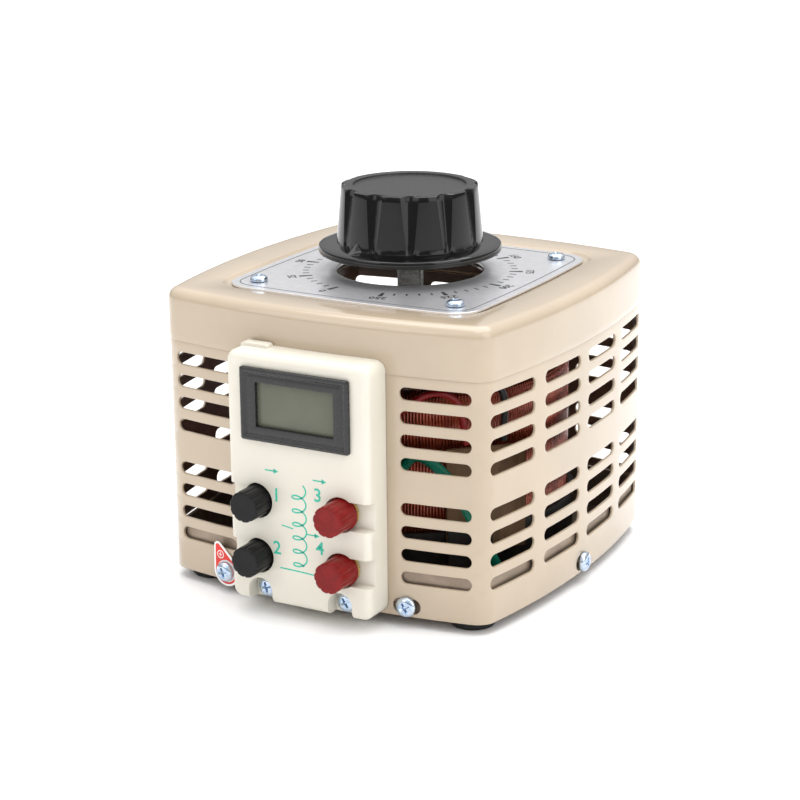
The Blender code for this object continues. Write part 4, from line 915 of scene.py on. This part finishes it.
def make_meter():
    front = PANEL_FRONT + BEZEL_PROUD
    rings = []
    for half_x, half_y, radius, z in BEZEL_PROFILE:
        rings.append([(x, y, front + z) for x, y in rounded_rectangle(half_x, half_y, radius, 4)])
    bm = bmesh.new()
    loft(bm, rings, closed=True)
    place = PANEL @ spot(0, METER_MIDDLE, 0)
    put("bezel_moulding", finish_mesh(bm, 38), place, BEZEL, "case", "bezel_black", "meter_bezel")
    glass_low, glass_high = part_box("lcd_window")
    low, high = out(glass_high.y), out(glass_low.y)
    size = ((glass_high.x - glass_low.x) / MM, (glass_high.z - glass_low.z) / MM, high - low)
    mesh = baked(finish_mesh(box(size, (0, 0, (low + high) / 2))), ("bevel", 0.15, 40))
    put("display_pane", mesh, place, DISPLAY, "case", "lcd_green", "lcd_window")


# ---- Binding posts ----


def cap_mesh():
    back = POCKET_FLOOR + 2.3
    front = out(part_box("post_cap_upper_left")[0].y)
    bore, ribs, per_rib, groove = 2.9, 10, 12, 0.13
    profile = (  # radius, height, depth of the grooves
        (bore, back + 0.2, 0), (3.1, back, 0), (6.45, back, 0), (6.68, back + 0.25, 0), (6.68, back + 1.0, 0),
        (6.5, back + 1.3, 0), (6.3, back + 1.5, 0.05), (6.28, back + 2.2, 0.4), (6.24, back + 5.0, 0.42),
        (6.2, front - 0.6, 0.42), (6.1, front - 0.28, 0.4), (5.85, front - 0.08, 0.34), (5.5, front, 0.22),
        (4.8, front, 0), (2.4, front - 0.04, 0),
    )
    rings = []
    for radius, z, deep in profile:
        points = []
        for i in range(ribs * per_rib):
            place = (i % per_rib) / per_rib - 0.5
            r = radius - deep * math.exp(-((place / groove) ** 2))
            points.append(polar(r, TURN * i / (ribs * per_rib), z))
        rings.append(points)
    bm = bmesh.new()
    loops = loft(bm, rings)
    cap(bm, loops[-1])
    end = loop_verts(bm, circle(bore, front - 2.4, ribs * per_rib))
    bridge(bm, loops[0], end)
    cap(bm, end)
    return finish_mesh(bm, 42)


def make_posts():
    washer = finish_mesh(turned([(2.9, 0), (5.5, 0), (5.6, 0.1), (5.6, 0.5), (5.5, 0.6), (2.9, 0.6)], 48))
    low, high = (out(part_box("post_stud_upper_left")[i].y) for i in (1, 0))
    flange, flange_top, pitch = POCKET_FLOOR + GAP, POCKET_FLOOR + 1.1, 0.8
    stud = [(0, low), (2.2, low), (2.5, low + 0.4), (2.5, flange), (6.1, flange), (6.2, flange + 0.1)]
    stud += [(6.2, flange_top - 0.1), (6.1, flange_top), (2.5, flange_top)]
    z = POCKET_FLOOR + 1.2
    while z < high - 0.9:
        stud += [(2.15, z), (2.5, z + pitch / 2)]
        z += pitch
    stud = finish_mesh(turned([*stud, (1.9, high), (0, high)], 32))
    for side, x, mesh, colour, slot in (
        ("left", -POST_X, cap_mesh(), CAP_BLACK, "cap_black"), ("right", POST_X, cap_mesh(), CAP_RED, "cap_red")
    ):
        for row, y in zip(("upper", "lower"), POST_ROWS):
            name = row + "_" + side
            place = PANEL @ spot(x, y, 0) @ spin(0.2 + 0.17 * x + 0.3 * y)
            put("cap_" + name, mesh, place, colour, "cap_" + name, slot, "post_cap_" + name)
            place = PANEL @ spot(x, y, POCKET_FLOOR + 1.4)
            put("washer_" + name, washer, place, NICKEL, "clamp_" + name, "brass", "post_washer_" + name)
            put("stud_" + name, stud, PANEL @ spot(x, y, 0), BRASS, "case", "brass", "post_stud_" + name)


# ---- Earth tag ----

TAG_LEAN, TAG_REACH = math.radians(113), 10.8


def teardrop(round_radius, tip_radius, steps=20):
    opening = math.acos((round_radius - tip_radius) / TAG_REACH)
    start, end = TAG_LEAN + opening, TAG_LEAN - opening
    return arc(round_radius, start, end + TURN, 2 * steps) + arc(
        tip_radius, end, start, steps, *polar(TAG_REACH, TAG_LEAN)
    )


def make_tag():
    place = AXIS @ in_metres(side_place(FRONT, EARTH_SCREW_X, CASE_SCREW_Z, 0.5))
    plate = finish_mesh(prism(teardrop(6.4, 1.9), 0, 0.4))
    mesh = baked(plate, ("cut", rod(2.3, -1, 2, 24)), ("bevel", 0.08, 50))
    put("tag_plate", mesh, place, TAG_WHITE, "case", "tag_red", "earth_tag")
    mesh = baked(finish_mesh(prism(teardrop(5.5, 1.1), 0.41, 0.45)), ("cut", rod(4.7, -1, 2, 48)))
    put("tag_field", mesh, place, TAG_RED, "case", "tag_red")
    x, y = polar(7.2, TAG_LEAN)
    low, high = 0.46, 0.5
    mark = ribbon(arc(1.55, 0, TURN, 32, x, y)[:-1], 0.32, low, high, closed=True)
    for half, drop in ((0.85, 0.1), (0.55, -0.35), (0.25, -0.8)):
        merge(mark, ribbon([(x - half, y + drop), (x + half, y + drop)], 0.24, low, high))
    merge(mark, ribbon([(x, y + 0.12), (x, y + 1.1)], 0.26, low, high))
    put("tag_mark", finish_mesh(mark), place, TAG_WHITE, "case", "tag_red")


# ---- Feet ----


def make_feet():
    low, at = height(0.0), 60
    profile = [(0, low), (7.6, low), (8.4, low + 0.15), (8.9, low + 0.7), (9.5, -0.9), (9.45, -0.35), (9.1, -0.1)]
    profile += [(3.0, -0.1), (3.0, 2.0), (4.3, 2.05), (4.4, 2.3), (3.2, 3.8), (0, 3.9)]
    foot = finish_mesh(turned(profile, 56))
    for y, end in ((-at, "front"), (at, "back")):
        for x, side in ((-at, "left"), (at, "right")):
            node = "foot_%s_%s" % (end, side)
            put(node + "_moulding", foot, AXIS @ spot(x, y, 0), RUBBER, "case", "rubber", node)


# ---- Winding ----


def make_winding():
    """One layer of round wire wound side by side, as a closed skin with a rounded ridge for each turn."""
    low, high, outer, inner, corner, wall = 18.3, 83.9, 64.8, 28.2, 4.0, 2.3
    turns, per_turn, wire = 300, 8, 0.62
    start, sweep = ZERO_ANGLE + math.radians(5), math.radians(340)
    middle_r, middle_z = (outer + inner) / 2, (low + high) / 2
    right, left, top, bottom = outer - corner, inner + corner, high - corner, low + corner

    def section(radius):
        points = []
        for quarter, centre in enumerate(((right, top), (left, top), (left, bottom), (right, bottom))):
            points += arc(radius, QUARTER * quarter, QUARTER * (quarter + 1), 4, *centre)
        return points

    def dented(points, angle, depth):
        """The section at an angle round the core, pushed in by depth, and by less near the axis."""
        ring = []
        for r, z in points:
            dr, dz = r - middle_r, z - middle_z
            dent = depth * (0.45 + 0.55 * (r - inner) / (outer - inner)) / math.hypot(dr, dz)
            ring.append(polar(r - dr * dent, angle, z - dz * dent))
        return ring

    skin, hollow, angles = section(corner), section(corner - wall), spaced(start, start - sweep, turns * per_turn)
    phases = [2 * (i % per_turn) / per_turn - 1 for i in range(len(angles))]
    dips = [wire * (1 - math.sqrt(1 - phase * phase)) for phase in phases]
    dips[0] = dips[-1] = 0.0
    bm = bmesh.new()
    outside = loft(bm, [dented(skin, angle, dip) for angle, dip in zip(angles, dips)])
    inside = loft(bm, [dented(hollow, angle, 0.0) for angle in angles])
    for end in (0, -1):
        bridge(bm, outside[end], inside[end])
    put("winding_turns", finish_mesh(bm, 70), AXIS, COPPER, "case", "enamelled_copper", "winding")


# ---- Leads ----

RED_ROUTE = [(19.5, -69.6, 41), (20, -69.4, 60), (28, -67.5, 74), (42, -63, 86), (50, -54, 82), (51.5, -49, 64)]
BLACK_ROUTE = [(-17.9, -69.6, 41), (-14, -69.8, 58), (0, -70, 74), (18, -69.5, 86), (38, -68, 93), (54, -58, 94)]
BLACK_ROUTE += [(64, -44, 86), (61.5, -37, 64)]
GREEN_ROUTE = [(19.5, -69.4, 24), (27, -69, 42), (34, -66.5, 58), (40, -63.5, 61), (50, -59, 51), (59, -56, 34)]
GREEN_ROUTE += [(66, -44, 8)]


def smooth_line(points, steps):
    ends = [2 * points[0] - points[1], *points, 2 * points[-1] - points[-2]]
    fine = []
    for a, b, c, d in zip(ends, ends[1:], ends[2:], ends[3:]):
        cubic, square = 3 * b - a - 3 * c + d, 2 * a - 5 * b + 4 * c - d
        for i in range(steps):
            t = i / steps
            fine.append(0.5 * (2 * b + (c - a) * t + square * t * t + cubic * t * t * t))
    return fine + [points[-1]]


def make_lead(colour, route, radius, material):
    curve = bpy.data.curves.new("lead", "CURVE")
    curve.dimensions = "3D"
    curve.bevel_depth = radius * MM
    curve.bevel_resolution = 4
    curve.use_fill_caps = True
    spline = curve.splines.new("POLY")
    fine = smooth_line([Vector(p) * MM for p in route], 12)
    spline.points.add(len(fine) - 1)
    for target, point in zip(spline.points, fine):
        target.co = (*point, 1)
    node = "lead_" + colour
    put(node + "_wire", curve, AXIS, material, "case", colour + "_lead", node)


# ---- Frame nodes that keep their own shape ----


def dress_nodes():
    """Edge breaks and finishes for the frame's own pieces."""
    finishes = {
        TRAY: "base_plate",
        STEEL: "bearing_tube tie_bolt_1 tie_bolt_2 tie_bolt_3 stop_post",
        BRONZE: "bush_upper",
        PHENOLIC: "support_ring clamp_plate brush_hub board_bracket",
        CORE: "toroid_core",
        BRASS: "collector_ring brush_holder",
        ALUMINIUM: "brush_arm",
        CARBON: "carbon_brush",
        LAMINATE: "insulating_board",
        BOARD: "meter_board",
    }
    for material, names in finishes.items():
        for name in names.split():
            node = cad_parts[name]
            node.data.materials.clear()
            node.data.materials.append(material)
            add_bevel(node, 0.2, 2, 50)


# ---- Stage ----


def add_light(name, place, power, size):
    light = bpy.data.lights.new(name, "AREA")
    light.energy = power
    light.shape = "RECTANGLE"
    light.size, light.size_y = size
    obj = add_object(name, light)
    obj.location = place
    obj.rotation_euler = (Vector((0, 0, 0.07)) - Vector(place)).to_track_quat("-Z", "Y").to_euler()


def make_stage():
    """A pale floor, a white surround that darkens towards the horizon, and three soft lights."""
    mesh = bpy.data.meshes.new("floor")
    reach = 12.0
    corners = [(-reach, -reach, 0), (reach, -reach, 0), (reach, reach, 0), (-reach, reach, 0)]
    mesh.from_pydata(corners, [], [(0, 1, 2, 3)])
    floor = add_object("floor", mesh)
    pale = (251.036, 251.036, 251.036)
    mesh.materials.append(surface("floor_paper", pale, 0.6, 0, 0.005, 3, 0.02, 0, 50))
    world = bpy.data.worlds.new("studio")
    bpy.context.scene.world = world
    world.use_nodes = True
    nodes, links = world.node_tree.nodes, world.node_tree.links
    parts = add_node(nodes, "SeparateXYZ")
    shade = add_node(nodes, "MapRange", From_Min=0.0, From_Max=0.8, To_Min=0.22, To_Max=1.4)
    links.new(add_node(nodes, "TexCoord").outputs["Generated"], parts.inputs["Vector"])
    links.new(parts.outputs["Z"], shade.inputs["Value"])
    background = nodes["Background"]
    background.inputs["Color"].default_value = (1, 1, 1, 1)
    links.new(shade.outputs["Result"], background.inputs["Strength"])
    add_light("top_soft", (0.1, 0.2, 1.3), 14, (1.4, 1.4))
    add_light("right_soft", (1.3, -0.3, 0.7), 5, (0.9, 1.2))
    add_light("front_soft", (-0.7, -1.4, 0.8), 3, (1.0, 0.9))


def make_camera():
    """The camera stands to the front right, a little above the top of the case."""
    turn, lift, roll = math.radians(29.46), math.radians(16.55), math.radians(-0.57)
    away = Vector((math.sin(turn) * math.cos(lift), -math.cos(turn) * math.cos(lift), math.sin(lift)))
    across = Vector((0, 0, 1)).cross(away).normalized()
    up = away.cross(across)
    right = math.cos(roll) * across + math.sin(roll) * up
    top = math.cos(roll) * up - math.sin(roll) * across
    camera = bpy.data.cameras.new("camera")
    camera.sensor_width = 36.0
    camera.lens = 104.67
    camera.clip_end = 60.0
    obj = add_object("camera", camera)
    place = Vector((449.95, -806.15, 336.03)) * MM + ORIGIN
    obj.matrix_world = Matrix.Translation(place) @ Matrix((right, top, away)).transposed().to_4x4()
    bpy.context.scene.camera = obj


bpy.context.scene.view_settings.view_transform = "Standard"
make_camera()
make_stage()
make_case()
make_dial_plate()
make_dial_print()
make_screws()
make_knob()
make_shaft()
make_spring()
make_panel()
make_meter()
make_posts()
make_tag()
make_feet()
make_winding()
make_lead("red", RED_ROUTE, 1.4, LEAD_RED)
make_lead("black", BLACK_ROUTE, 1.4, LEAD_BLACK)
make_lead("green", GREEN_ROUTE, 2.2, LEAD_GREEN)
dress_nodes()
